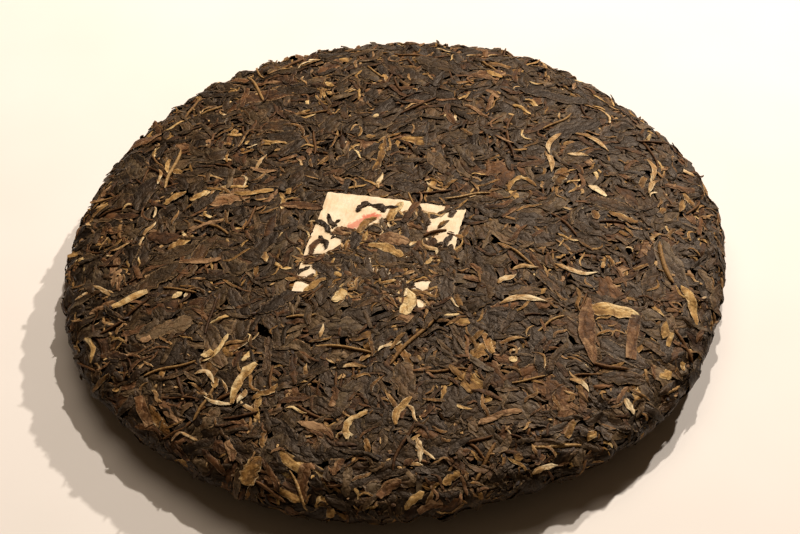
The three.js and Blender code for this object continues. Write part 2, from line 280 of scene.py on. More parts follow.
class Bed:
    """One side of the cake as a flat map of how deep the leaves already fill it."""

    CELL = 0.4
    SLOPE = 0.3

    def __init__(self, reach, under):
        self.reach = reach
        self.under = under
        # Where the side's painted shade begins on this map
        self.painted_shade_from = FULL_RUN - RIM_RUN - SHADE_BELOW_RIM if under else RIM_RUN - SHADE_ABOVE_RIM
        self.count = int(2 * reach / self.CELL) + 1
        spots = (np.arange(self.count) + 0.5) * self.CELL - reach
        x, y = np.meshgrid(spots, spots)
        self.x, self.y = x.ravel(), y.ravel()
        self.fill = np.zeros(self.count ** 2)
        self.skin = np.zeros(self.count ** 2)
        self.inside = np.hypot(self.x, self.y) < reach - 4
        self.open = np.flatnonzero(self.inside)
        self.laid = 0

    def cells(self, flat):
        spots = np.clip(((flat + self.reach) / self.CELL).astype(int), 0, self.count - 1)
        return spots[..., 1] * self.count + spots[..., 0]

    def open_share(self):
        return (self.fill[self.inside] <= 0).mean()

    def draw_open(self, draw):
        """A place that no leaf covers yet."""
        if self.laid % 40 == 0:
            self.open = np.flatnonzero(self.inside & (self.fill <= 0))
        for _ in range(20):
            if not len(self.open):
                break
            cell = self.open[draw.integers(len(self.open))]
            if self.fill[cell] <= 0:
                return self.x[cell], self.y[cell]
        return None

    def lay(self, form, x, y, heading, lift=0.0, deepest=DEEPEST_DIVE, keep_off=None, poke=0.0):
        """Lays a leaf as high as it can lie. Returns its rings of points, or None."""
        turn = np.array([[math.cos(heading), math.sin(heading)], [-math.sin(heading), math.cos(heading)]])
        across = form["across"]
        half = np.where(across[None, :] < 0, form["edges"][0][:, None], form["edges"][1][:, None])
        flat = form["line"][:, None, :] + form["left"][:, None, :] * (across[None, :] * half)[..., None]
        flat = flat @ turn + np.array([x, y])
        if np.hypot(flat[..., 0], flat[..., 1]).max() > self.reach - 0.5:
            return None
        along = between(len(form["t"]), max(int(form["length"] / SAMPLE_STEP), 6))
        wide = between(len(across), max(int(form["width"] / SAMPLE_STEP), 3) + 1)
        fine = np.einsum("an,nkd,wk->awd", along, flat, wide).reshape(-1, 2)
        relief = (along @ form["relief"] @ wide.T).ravel()
        cells = self.cells(fine)
        if keep_off is not None and keep_off(fine):
            return None
        filled = self.fill[cells]
        need = np.where(filled > 0, filled + 0.03, 0) - relief
        ask = need > 0.01 + lift
        depth = np.full(flat.shape[:2], lift)
        if ask.any():
            spots = flat.reshape(-1, 2)
            gap = np.hypot(spots[:, None, 0] - fine[None, ask, 0], spots[:, None, 1] - fine[None, ask, 1])
            depth = np.maximum(depth, (need[ask][None, :] - self.SLOPE * gap).max(1).reshape(depth.shape))
        if depth.min() > deepest:
            return None
        depth = depth - poke * form["t"][:, None] ** 2
        depth_fine = (along @ depth @ wide.T).ravel()
        thick = (along @ form["thick"] @ wide.T).ravel()
        bare = filled <= 0
        self.skin[cells[bare]] = (depth_fine + relief)[bare]
        np.maximum.at(self.fill, cells, np.maximum(depth_fine + relief + thick, 0.02))
        self.laid += 1
        top = np.concatenate([flat, (depth + form["relief"])[..., None]], -1)
        low = self.lower_points(form, flat, depth)
        return np.concatenate([top, low], 1)

    @staticmethod
    def lower_points(form, flat, depth):
        """Two rows of points on the leaf's lower face."""
        rows = []
        last = len(form["across"]) - 1
        middle, quarter = last // 2, last // 4
        for row, inner in ((last, middle + quarter), (0, middle - quarter)):
            spot = flat[:, middle] * (1 - LOWER_ROWS_AT) + flat[:, row] * LOWER_ROWS_AT
            deep = depth[:, inner] + form["relief"][:, inner] + form["thick"][:, inner]
            rows.append(np.concatenate([spot, deep[:, None]], -1))
        return np.stack(rows, 1)

    def place(self, rings):
        """Points of the flat map, with their depths, as points of the cake."""
        away = np.hypot(rings[..., 0], rings[..., 1])
        angle = np.arctan2(rings[..., 1], rings[..., 0])
        run = FULL_RUN - away if self.under else away
        return on_cake(run, angle, -rings[..., 2])


class Pile:
    """All leaves of one kind, gathered into one mesh with an unwrapped atlas."""

    def __init__(self, name):
        self.name = name
        self.leaves = []

    def add(self, points, form, tone, warmth, under):
        self.leaves.append((points, form, tone, warmth, under))

    def atlas(self):
        """A cell of the unit square for each leaf, on shelves, the longest leaves first."""
        sizes = np.array([(2.3 * f["width"] + 0.8, f["length"] + 1.2) for _, f, _, _, _ in self.leaves])
        order = np.argsort(-sizes[:, 1])
        low, high = 50.0, 4000.0
        best = None
        while high - low > 2:
            side = (low + high) / 2
            spots, x, y, shelf, fits = np.zeros_like(sizes), 0.0, 0.0, 0.0, True
            for i in order:
                wide, tall = sizes[i]
                if x + wide > side:
                    x, y, shelf = 0.0, y + shelf, 0.0
                shelf = max(shelf, tall)
                if y + shelf > side:
                    fits = False
                    break
                spots[i] = x, y
                x += wide
            if fits:
                best, high = (spots / side, sizes / side), side
            else:
                low = side
        return best

    def build(self):
        spots, sizes = self.atlas()
        points, tint, quads, quad_uv, quad_mm, tris, tri_uv, tri_mm = [], [], [], [], [], [], [], []
        start = 0
        for (rings, form, tone, warmth, under), spot, size in zip(self.leaves, spots, sizes):
            count, ring = rings.shape[:2]
            points.append(rings.reshape(-1, 3))
            edge = np.concatenate([np.abs(form["across"]), [LOWER_ROWS_AT, LOWER_ROWS_AT]])
            leaf_tint = np.zeros((count, ring, 4))
            shade = form["tint"]
            leaf_tint[..., 0] = np.clip(tone + np.concatenate([shade, shade[:, :1], shade[:, -1:]], 1), 0, 1)
            leaf_tint[..., 1] = warmth
            leaf_tint[..., 2] = edge
            leaf_tint[..., 3] = 1
            tint.append(leaf_tint.reshape(-1, 4))
            i, j = np.meshgrid(np.arange(count - 1), np.arange(ring), indexing="ij")
            near, far = j, (j + 1) % ring
            here, ahead = i * ring, (i + 1) * ring
            quad = np.stack([here + near, ahead + near, ahead + far, here + far], -1)
            order = [0, 3, 2, 1] if under else [0, 1, 2, 3]
            u = np.stack([j, j, j + 1, j + 1], -1) / ring
            v = np.stack([i, i + 1, i + 1, i], -1) / (count - 1)
            inset = 0.06
            place_u = spot[0] + size[0] * (inset + (1 - 2 * inset) * u)
            place_v = spot[1] + size[1] * (inset + (1 - 2 * inset) * v)
            quads.append((quad[..., order] + start).reshape(-1, 4))
            quad_uv.append(np.stack([place_u, place_v], -1)[..., order, :].reshape(-1, 2))
            lie = np.concatenate([form["across"], [LOWER_ROWS_AT, -LOWER_ROWS_AT]])
            side = lie[quad % ring] * form["width"] / 2
            run = form["t"][quad // ring] * form["length"]
            seed = (tone * 977 + len(points) * 13.7) % 499
            quad_mm.append(np.stack([side + seed, run + 3 * seed], -1)[..., order, :].reshape(-1, 2))
            for end, base in ((0, 0), (1, (count - 1) * ring)):
                fan = np.stack([np.zeros(ring - 2, int), np.arange(1, ring - 1), np.arange(2, ring)], -1)
                share = fan / (ring - 1)
                cap_u = spot[0] + size[0] * (inset + (1 - 2 * inset) * share)
                arc = 0.004 + (inset - 0.01) * 4 * share * (1 - share)
                cap_v = spot[1] + size[1] * (inset * 0.9 - arc if end == 0 else 1 - inset * 0.9 + arc)
                turn = [0, 1, 2] if (end == 0) != under else [0, 2, 1]
                tris.append((fan + base + start)[:, turn])
                tri_uv.append(np.stack([cap_u, cap_v], -1)[:, turn].reshape(-1, 2))
                cap_side = np.full(fan.shape, seed)
                cap_run = np.full(fan.shape, 3 * seed + end * form["length"])
                tri_mm.append(np.stack([cap_side, cap_run], -1).reshape(-1, 2))
            start += count * ring
        faces = [np.concatenate(quads), np.concatenate(tris)]
        uv = np.concatenate(quad_uv + tri_uv)
        grain = np.concatenate(quad_mm + tri_mm)
        return mesh_piece(self.name, np.concatenate(points), faces,
                          [("OFBake", uv), ("grain", grain)], np.concatenate(tint))


def feed(tree, socket, value):
    """Gives a socket a value, or a link from another socket."""
    if isinstance(value, bpy.types.NodeSocket):
        tree.links.new(value, socket)
    else:
        socket.default_value = value


def node(tree, kind, **given):
    """Adds a node with its settings and links: a socket takes a value or another socket."""
    made = tree.nodes.new(kind)
    inputs = given.pop("inputs", {})
    for key, value in given.items():
        setattr(made, key, value)
    for key, value in inputs.items():
        feed(tree, made.inputs[key], value)
    return made


def ramp(tree, factor, stops):
    """A colour ramp from pairs of place and sRGB hex colour."""
    made = node(tree, "ShaderNodeValToRGB", inputs={"Fac": factor})
    points = made.color_ramp.elements
    while len(points) < len(stops):
        points.new(0.5)
    for point, (place, code) in zip(points, stops):
        point.position = place
        point.color = hex_linear(code)
    return made.outputs["Color"]


def sums(tree, operation, *values, clamp=False):
    """One sum of two values, by the Math node's name for it."""
    made = node(tree, "ShaderNodeMath", operation=operation, use_clamp=clamp)
    for socket, value in zip(made.inputs, values):
        feed(tree, socket, value)
    return made.outputs[0]


def spread(tree, value, low, high, to_low, to_high):
    """Turns the range low to high into to_low to to_high, and holds it there."""
    return node(tree, "ShaderNodeMapRange", inputs={
        "Value": value, "From Min": low, "From Max": high, "To Min": to_low, "To Max": to_high,
    }).outputs[0]


def blend_colours(tree, factor, first, second):
    """Mixes two colours, through the Mix node's own colour sockets."""
    mixed = node(tree, "ShaderNodeMix", data_type="RGBA", inputs={0: factor, 6: first, 7: second})
    return mixed.outputs[2]


def rough_normal(tree, shader, height, rise_mm):
    """Small relief in the material, rise_mm high."""
    bump = node(tree, "ShaderNodeBump", inputs={"Height": height, "Strength": 1.0, "Distance": rise_mm * MM})
    tree.links.new(bump.outputs[0], shader.inputs["Normal"])


def noise(tree, coordinates, size_mm, detail=3.0, rough=0.55, stretch=None, metres=True):
    """Noise whose blobs are size_mm across, on coordinates in metres or in millimetres."""
    if stretch is not None:
        coordinates = node(tree, "ShaderNodeMapping", inputs={
            "Vector": coordinates, "Scale": stretch}).outputs[0]
    return node(tree, "ShaderNodeTexNoise", inputs={
        "Vector": coordinates, "Scale": 1 / (size_mm * MM) if metres else 1 / size_mm,
        "Detail": detail, "Roughness": rough,
    }).outputs[0]


def new_material(name):
    material = bpy.data.materials.new(name)
    material.use_nodes = True
    tree = material.node_tree
    tree.nodes.clear()
    shader = node(tree, "ShaderNodeBsdfPrincipled")
    node(tree, "ShaderNodeOutputMaterial", inputs={"Surface": shader.outputs[0]})
    return material, tree, shader


def leaf_folds(tree, grain):
    """Folds along a leaf: each fold's own colour values and the distance to its edges."""
    wander = node(tree, "ShaderNodeTexNoise", inputs={"Vector": grain, "Scale": 0.5, "Detail": 3.0})
    moved = node(tree, "ShaderNodeVectorMath", operation="MULTIPLY_ADD", inputs={
        0: wander.outputs["Color"], 1: (2.6, 5.0, 0.0), 2: grain}).outputs[0]
    # Folds 2.4 mm apart across the leaf and 5.9 mm along it
    drawn = node(tree, "ShaderNodeMapping", inputs={"Vector": moved, "Scale": (0.42, 0.17, 1.0)}).outputs[0]
    folds = node(tree, "ShaderNodeTexVoronoi", voronoi_dimensions="2D",
                 inputs={"Vector": drawn, "Scale": 1.0})
    edges = node(tree, "ShaderNodeTexVoronoi", voronoi_dimensions="2D", feature="DISTANCE_TO_EDGE",
                 inputs={"Vector": drawn, "Scale": 1.0})
    own = node(tree, "ShaderNodeSeparateColor", inputs={"Color": folds.outputs["Color"]})
    return own.outputs[0], own.outputs[1], edges.outputs["Distance"]


def leaf_material(name, tones, warm, edge, rough, wrinkle, fold=0.2, sheen="#ffe0be"):
    """Dried leaf: tones from its darkest to its lightest, folds with painted shade in their grooves, warm
    patches, worn edges, tinted sheen.
    """
    material, tree, shader = new_material(name)
    place = node(tree, "ShaderNodeTexCoord").outputs["Object"]
    grain = node(tree, "ShaderNodeUVMap", uv_map="grain").outputs[0]
    tint = node(tree, "ShaderNodeAttribute", attribute_name="tint").outputs["Color"]
    parts = node(tree, "ShaderNodeSeparateColor", inputs={"Color": tint})
    tone, warmth, side = parts.outputs[0], parts.outputs[1], parts.outputs[2]
    fold_tone, fold_warmth, fold_edge = leaf_folds(tree, grain)
    mottle = noise(tree, place, 2.6, 4.0)
    fine = noise(tree, place, 0.55, 3.0)
    fibre = noise(tree, grain, 0.4, 2.0, 0.6, stretch=(1.3, 0.14, 1.0), metres=False)
    crumple = noise(tree, place, 1.4, 4.0, 0.6)
    level = sums(tree, "ADD", tone, spread(tree, fold_tone, 0.0, 1.0, -fold, fold))
    for source, reach in ((mottle, 0.2), (crumple, 0.14), (fibre, 0.07), (fine, 0.05)):
        level = sums(tree, "ADD", level, spread(tree, source, 0.3, 0.7, -reach, reach))
    colour = ramp(tree, level, tones)
    # Warm patches, more on the warmer leaves
    patch = sums(tree, "ADD", noise(tree, place, 3.4, 2.0), sums(tree, "MULTIPLY", fold_warmth, 0.3))
    patch = sums(tree, "MULTIPLY", spread(tree, patch, 0.6, 0.85, 0.0, 0.55), warmth)
    colour = blend_colours(tree, patch, colour, hex_linear(warm))
    # Worn, paler edges
    worn = sums(tree, "ADD", side, spread(tree, fine, 0.3, 0.7, -0.25, 0.25))
    worn = sums(tree, "MULTIPLY", spread(tree, worn, 0.84, 1.05, 0.0, 0.75), warmth)
    colour = blend_colours(tree, worn, colour, hex_linear(edge))
    # Paler ridges beside some folds, and painted shade darkening the grooves in them
    ridge = sums(tree, "ABSOLUTE", sums(tree, "SUBTRACT", fold_edge, 0.13))
    ridge = sums(tree, "MULTIPLY", spread(tree, ridge, 0.0, 0.08, fold * 0.65, 0.0),
                 spread(tree, fold_warmth, 0.5, 0.8, 0.0, 1.0))
    colour = blend_colours(tree, ridge, colour, hex_linear(edge))
    painted_groove_shade = sums(tree, "ADD", fold_edge, spread(tree, fine, 0.3, 0.7, -0.03, 0.03))
    colour = blend_colours(tree, spread(tree, painted_groove_shade, 0.02, 0.08, 0.4, 0.0), colour, hex_linear(tones[0][1]))
    tree.links.new(colour, shader.inputs["Base Color"])
    gloss = sums(tree, "ADD", crumple, sums(tree, "MULTIPLY", fine, 0.5))
    tree.links.new(spread(tree, gloss, 0.5, 1.0, *rough), shader.inputs["Roughness"])
    shader.inputs["Specular IOR Level"].default_value = 0.26
    shader.inputs["Specular Tint"].default_value = hex_linear(sheen)
    height = spread(tree, fold_edge, 0.0, 0.3, 0.0, 0.7)
    for source, share in ((fine, 0.25), (fibre, 0.25), (crumple, 0.7)):
        height = sums(tree, "ADD", height, sums(tree, "MULTIPLY", source, share))
    rough_normal(tree, shader, height, wrinkle)
    return material


def charcoal_leaf():
    """Post-fermented large leaf, pressed flat and dried: near-black with a soft sheen."""
    tones = ((0.0, "#120a06"), (0.35, "#1c140c"), (0.7, "#2b2117"), (1.0, "#544632"))
    return leaf_material("fermented_leaf_charcoal", tones, "#46311d", "#8a7150", (0.4, 0.62), 0.24, 0.15,
                         sheen="#ffe4c6")


def dark_brown_leaf():
    """Post-fermented leaf, folded, pressed and dried: olive to dark brown, satin."""
    tones = ((0.0, "#150e07"), (0.3, "#251b10"), (0.65, "#3c2e1c"), (1.0, "#68553d"))
    return leaf_material("fermented_leaf_dark_brown", tones, "#583a20", "#967a54", (0.42, 0.68), 0.32, 0.22)


def rolled_leaf():
    """Post-fermented leaf, rolled to strands and dried: black-brown with lighter ridges."""
    tones = ((0.0, "#130c06"), (0.35, "#22190f"), (0.7, "#392b1b"), (1.0, "#6a573e"))
    return leaf_material("fermented_leaf_rolled", tones, "#553a20", "#957a55", (0.4, 0.66), 0.28, 0.16)


def brown_leaf():
    """Less fermented leaf, rolled and dried: dull chestnut with darker pleats."""
    tones = ((0.0, "#1e1008"), (0.35, "#3c2514"), (0.7, "#634328"), (1.0, "#957553"))
    return leaf_material("chestnut_leaf_dried", tones, "#794e29", "#af9069", (0.5, 0.74), 0.28, 0.18)


def tan_leaf():
    """Old thin leaf, sun-dried: straw tan with brown veins, quite matte."""
    tones = ((0.0, "#3a250e"), (0.35, "#7b592c"), (0.7, "#b08c53"), (1.0, "#dcc38f"))
    return leaf_material("tan_leaf_dried", tones, "#93642f", "#dccba6", (0.54, 0.78), 0.25, 0.14)


def golden_bud():
    """Leaf buds covered in fine hairs, dried: soft gold with brown bases."""
    tones = ((0.0, "#38240f"), (0.35, "#785731"), (0.7, "#b18f5e"), (1.0, "#e6d2a8"))
    return leaf_material("downy_bud_dried", tones, "#906334", "#e8d8b8", (0.58, 0.82), 0.2, 0.1)


SIZES = {
    "blade": ((8, 20), (3.2, 7.0)),
    "strip": ((4, 14), (1.1, 3.0)),
    "twist": ((4, 14), (0.8, 2.0)),
    "bud": ((4, 10), (0.8, 1.6)),
    "sliver": ((2.5, 10), (0.45, 1.15)),
    "stem": ((6, 22), (0.6, 1.2)),
    "band": ((3, 9), (1.0, 2.2)),
    "chip": ((2, 5), (1.0, 2.6)),
}


def drawn_size(kind, draw=RNG):
    (short, long), (slim, wide) = SIZES[kind]
    share = draw.beta(1.6, 2.2)
    length = short + (long - short) * share
    width = slim + (wide - slim) * np.clip(0.6 * share + 0.4 * draw.random() + draw.normal(0, 0.12), 0, 1)
    return length, width


PILES = {}


def pile(name):
    return PILES.setdefault(name, Pile(name))


STEMS = []


def lay_leaf(bed, kind, colour, x, y, heading, length, width, tone, warmth, bend=None, lift=0.0,
             keep_off=None, deepest=DEEPEST_DIVE, flat=1.0, poke=0.0):
    """Forms one leaf, lays it and gathers it in its pile, or among the stems."""
    form = leaf_form(kind, length, width, bend, flat)
    rings = bed.lay(form, x, y, heading, lift, deepest, keep_off, poke)
    if rings is None:
        return False
    if kind == "stem":
        middle = rings[:, 1].copy()
        radius = (form["edges"][0] + form["edges"][1]) / 2
        middle[:, 2] += radius
        STEMS.append((bed.place(middle), radius, tone, warmth))
        return True
    side = "under_" if bed.under else ""
    pile(side + colour).add(bed.place(rings), form, tone, warmth, bed.under)
    return True


def kind_and_colour(shares, draw=RNG):
    pick = draw.random() * sum(share for _, share in shares)
    for what, share in shares:
        pick -= share
        if pick <= 0:
            return what
    return shares[-1][0]


# What a drawn leaf is, with its share: the wide blades, the narrow leaves over them and the small bits
BLADES = (
    (("blade", "charcoal_leaves"), 0.5),
    (("blade", "dark_brown_leaves"), 0.4),
    (("blade", "brown_leaves"), 0.08),
    (("blade", "tan_leaves"), 0.02),
)
NARROW = (
    (("strip", "charcoal_leaves"), 0.2),
    (("strip", "dark_brown_leaves"), 0.2),
    (("twist", "dark_rolled_leaves"), 0.22),
    (("strip", "brown_leaves"), 0.1),
    (("twist", "brown_leaves"), 0.1),
    (("twist", "tan_leaves"), 0.035),
    (("strip", "tan_leaves"), 0.045),
    (("bud", "golden_buds"), 0.07),
    (("band", "brown_leaves"), 0.03),
    (("band", "tan_leaves"), 0.015),
    (("band", "dark_brown_leaves"), 0.04),
    (("stem", "stems"), 0.05),
)
BITS = (
    (("sliver", "dark_rolled_leaves"), 0.22),
    (("sliver", "brown_leaves"), 0.2),
    (("sliver", "tan_leaves"), 0.22),
    (("sliver", "golden_buds"), 0.17),
    (("chip", "charcoal_leaves"), 0.07),
    (("chip", "brown_leaves"), 0.06),
    (("chip", "tan_leaves"), 0.03),
    (("stem", "stems"), 0.05),
)


def draw_leaf(draw, blades, bits):
    """A drawn leaf's kind, pile, length, width, tone and warmth."""
    pick = draw.random()
    shares = BLADES if pick < blades else BITS if pick < blades + bits else NARROW
    kind, colour = kind_and_colour(shares, draw)
    length, width = drawn_size(kind, draw)
    return kind, colour, length, width, draw.beta(1.3, 2.1), draw.random()


# From here outwards more and more leaves lie along the rim
RIM_PACKING_FROM = 82.0


def fill_bed(bed, most, until, coarse=False, draw=RNG):
    """Lays drawn leaves on the places still open: narrow ones first, then wide blades, then bits."""
    tries, still_open = 0, 1.0
    while bed.laid < most and tries < 3 * most:
        if tries % 25 == 0:
            still_open = bed.open_share()
        tries += 1
        spot = bed.draw_open(draw)
        if spot is None or still_open < until:
            break
        if coarse:
            blades, bits = (0.85, 0.05) if still_open > 0.3 else (0.4, 0.3)
        elif still_open > 0.5:
            blades, bits = 0.06, 0.5
        elif still_open > 0.12:
            blades, bits = 0.45, 0.25
        else:
            blades, bits = 0.1, 0.5
        kind, colour, length, width, tone, warmth = draw_leaf(draw, blades, bits)
        away = math.hypot(*spot)
        outward = math.atan2(spot[1], spot[0])
        rim_share = np.clip((away - RIM_PACKING_FROM) / RIM_BAND, 0, 1)
        length *= 1.25 if coarse else 1 - 0.25 * rim_share
        width *= 1.25 if coarse else 1 - (0.35 if kind == "blade" else 0.0) * rim_share
        heading = draw.uniform(0, math.pi)
        if draw.random() < 0.55 * rim_share:
            heading = outward + math.pi / 2 + draw.normal(0, 0.4)
        lift, poke = max(0.0, draw.normal(0.04, 0.1)), 0.0
        if rim_share > 0.6 and kind != "chip" and draw.random() < 0.2:
            heading, poke = outward + draw.normal(0, 0.5), draw.uniform(0.2, 1.1)
        # Painted shade on the cake's side: leaves there take the darkest piles and a darker tone
        painted_shade_share = np.clip((away - bed.painted_shade_from) / PAINTED_SHADE_BAND, 0, 1)
        if draw.random() < 0.8 * painted_shade_share:
            colour = "charcoal_leaves" if kind == "blade" else "dark_rolled_leaves"
        tone *= 1 - 0.85 * painted_shade_share
        lay_leaf(bed, kind, colour, *spot, heading, length, width, tone, warmth, lift=lift, poke=poke)


# Leaves that are told apart: kind, pile, x, y, heading, length, width, bend, tone
NAMED_LEAVES = (
    ("blade", "brown_leaves", 53.4, -45.9, -94, 23.3, 4.8, -0.06, 0.62),
    ("blade", "tan_leaves", 61.4, -39.2, -8, 16.5, 5.0, 0.06, 0.68),
    ("band", "brown_leaves", 65.9, -47.4, -106, 16.9, 3.2, -0.03, 0.55),
    ("stem", "stems", 58.0, -58.2, -13, 9.6, 1.2, -0.04, 0.35),
    ("twist", "dark_rolled_leaves", 49.2, -58.2, -12, 6.7, 1.8, 0.25, 0.1),
    ("bud", "golden_buds", 49.2, -64.3, -41, 6.3, 1.5, 0.2, 0.8),
    ("chip", "tan_leaves", 75.4, -45.3, 71, 6.4, 2.6, 0.0, 0.5),
    ("chip", "tan_leaves", 73.3, -60.1, 33, 5.2, 2.8, 0.0, 0.6),
    ("bud", "golden_buds", 52.7, -23.8, -15, 12.6, 1.6, -0.12, 0.8),
    ("strip", "tan_leaves", 85.2, -35.5, -79, 13.8, 3.0, 0.08, 0.72),
    ("bud", "golden_buds", 62.0, -70.8, -65, 5.2, 2.2, 0.03, 0.95),
    ("bud", "golden_buds", 81.4, 20.3, -90, 10.2, 1.7, 0.12, 0.7),
    ("bud", "golden_buds", 79.8, 12.5, -122, 7.6, 1.7, -0.1, 0.6),
    ("chip", "tan_leaves", 87.7, 4.6, 72, 6.0, 1.8, 0.0, 0.4),
    ("chip", "golden_buds", 62.6, 9.4, -47, 6.7, 2.0, 0.0, 1.25),
    ("band", "tan_leaves", -77.0, -22.6, 22, 11.0, 2.4, 0.01, 0.85),
    ("chip", "tan_leaves", -62.9, -23.7, 33, 3.4, 2.0, 0.0, 1.0),
    ("strip", "tan_leaves", -59.5, 18.0, 27, 6.8, 2.6, 0.06, 0.62),
    ("strip", "tan_leaves", -67.4, 18.6, 36, 8.1, 2.2, 0.1, 0.55),
    ("strip", "tan_leaves", -42.4, 17.0, -2, 12.4, 2.4, -0.05, 0.62),
    ("bud", "golden_buds", -74.2, 5.7, 61, 6.3, 1.4, 0.04, 0.7),
    ("strip", "brown_leaves", -57.0, -11.0, -2, 12.6, 1.8, -0.06, 0.85),
    ("strip", "tan_leaves", -44.3, -58.7, -117, 14.5, 2.6, -0.1, 0.72),
    ("bud", "golden_buds", -44.1, -63.5, -117, 5.0, 1.6, 0.05, 0.7),
    ("chip", "tan_leaves", -54.0, -47.4, 8, 3.7, 2.6, 0.0, 0.85),
    ("bud", "golden_buds", -54.1, -55.1, -37, 6.9, 1.4, 0.3, 0.8),
    ("chip", "brown_leaves", -71.4, -38.9, -5, 3.2, 2.6, 0.0, 1.0),
    ("strip", "tan_leaves", -88.0, -38.0, -75, 9.5, 1.5, 0.2, 0.75),
    ("band", "brown_leaves", -72.2, -63.0, -74, 10.5, 3.0, -0.02, 0.75),
    ("strip", "brown_leaves", -71.2, -68.7, -31, 8.6, 1.7, 0.1, 0.5),
    ("strip", "brown_leaves", -52.1, -82.2, -51, 9.9, 1.8, 0.03, 0.35),
    ("strip", "brown_leaves", -47.2, -79.9, -79, 5.9, 2.2, 0.06, 0.9),
    ("blade", "tan_leaves", -41.0, -86.0, 55, 8.5, 5.0, 0.05, 0.42),
    ("strip", "brown_leaves", -36.0, -87.5, -63, 11.0, 1.7, 0.05, 0.35),
    ("strip", "brown_leaves", -4.7, -94.5, 23, 7.4, 2.8, 0.05, 0.7),
    ("strip", "tan_leaves", 1.9, -98.5, 38, 6.7, 2.2, 0.08, 0.7),
    ("strip", "brown_leaves", 6.2, -101.0, 13, 7.0, 2.6, 0.05, 0.85),
    ("strip", "tan_leaves", 12.3, -93.5, 35, 5.4, 2.2, 0.05, 0.5),
    ("bud", "golden_buds", 38.0, -91.0, 22, 7.8, 1.6, 0.08, 0.8),
    ("stem", "stems", 79.6, -19.8, -82, 16.4, 1.5, -0.05, 0.6),
    ("blade", "charcoal_leaves", 81.4, -20.3, -74, 20.7, 6.4, -0.08, 0.8),
    ("strip", "dark_brown_leaves", 91.5, -25.5, -68, 8.6, 2.6, 0.1, 0.9),
    ("bud", "golden_buds", 52.3, 33.1, -115, 11.5, 1.9, -0.14, 0.7),
    ("bud", "golden_buds", 50.3, 23.4, -87, 10.5, 1.8, 0.1, 0.65),
    ("twist", "tan_leaves", 37.8, 13.6, 53, 8.5, 1.5, 0.1, 0.5),
    ("twist", "tan_leaves", 42.3, 14.4, -48, 7, 1.4, 0.1, 0.5),
    ("bud", "golden_buds", 65.6, 34.1, -46, 13, 1.7, 0.14, 0.65),
    ("bud", "golden_buds", 59.4, 26.9, -8, 6.5, 1.7, 0.05, 0.75),
    ("bud", "golden_buds", 36, -34.5, 2, 13.5, 1.9, 0.16, 0.8),
    ("bud", "golden_buds", 31.9, -26.4, 28, 6.5, 1.6, 0.05, 0.8),
    ("twist", "brown_leaves", 26.6, -75.5, 19, 13, 2.1, 0.05, 0.9),
    ("blade", "charcoal_leaves", 55.1, 58.6, 166, 23, 5.0, 0.05, 0.15),
    ("blade", "brown_leaves", -82.3, 52.4, 9, 17, 4.5, 0.06, 0.55),
    ("blade", "brown_leaves", -27.6, 8.5, -15, 14, 3.6, 0.05, 0.45),
    ("twist", "tan_leaves", -2.9, 28.5, -104, 13.5, 2.4, 0.08, 0.25),
    ("stem", "stems", 23.2, 8.3, 7, 14, 0.8, 0.02, 0.8),
    ("bud", "golden_buds", 4, -84.5, -86, 7.5, 1.7, 0.06, 0.9),
    ("strip", "charcoal_leaves", 104, 6.5, -66, 7.0, 2.4, 0.1, 0.1),
    ("twist", "dark_rolled_leaves", 105, -1.0, -80, 6.5, 2.2, 0.15, 0.1),
    ("strip", "charcoal_leaves", 103.5, -7.5, -104, 7.5, 2.6, -0.1, 0.15),
    ("twist", "dark_rolled_leaves", 104, -16.0, -95, 6.0, 2.0, 0.1, 0.1),
)

# Where the ticket's paper shows, in the ticket's own frame
BARE_PAPER = (
    ((-21.9, 21.4), (-13.7, 21.5), (-6.8, 22.3), (-0.4, 21.4), (4.3, 21.1), (5.8, 18.7), (3.8, 16.4),
     (0.7, 16.5), (-1.1, 14.2), (-3.1, 11.4), (-5.3, 9.3), (-9.0, 7.2), (-12.4, 6.8), (-15.3, 6.7),
     (-16.4, 4.6), (-21.4, 1.3)),
    ((7.6, 21.3), (14.8, 21.0), (14.2, 18.3), (11.4, 17.0), (9.2, 18.0)),
    ((12.2, 13.3), (16.0, 17.0), (16.8, 18.7), (22.8, 21.1), (22.8, 10.1), (18.9, 10.3), (15.9, 10.1),
     (13.1, 8.7), (11.8, 11.4)),
    ((14.5, 7.7), (16.9, 9.0), (19.9, 8.9), (22.0, 7.8), (21.9, 3.3), (20.0, 6.4), (18.5, 5.6), (18.5, 3.5),
     (16.3, 5.4)),
    ((-21.4, -2.8), (-21.0, 1.4), (-16.2, 3.5), (-15.0, 0.1), (-12.7, 1.8), (-11.9, -0.6), (-14.9, -3.7),
     (-21.3, -6.7)),
    ((-21.7, -9.8), (-19.5, -10.0), (-16.5, -12.4), (-18.3, -14.4), (-21.6, -15.0)),
    ((-22.0, -16.9), (-19.1, -17.0), (-16.2, -19.0), (-18.1, -20.9), (-21.6, -22.2)),
    ((12.9, -13.1), (15.1, -11.0), (17.6, -11.4), (17.1, -14.1), (15.1, -14.5)),
    ((15.1, -18.2), (16.8, -18.2), (17.7, -20.8), (16.3, -21.3)),
)
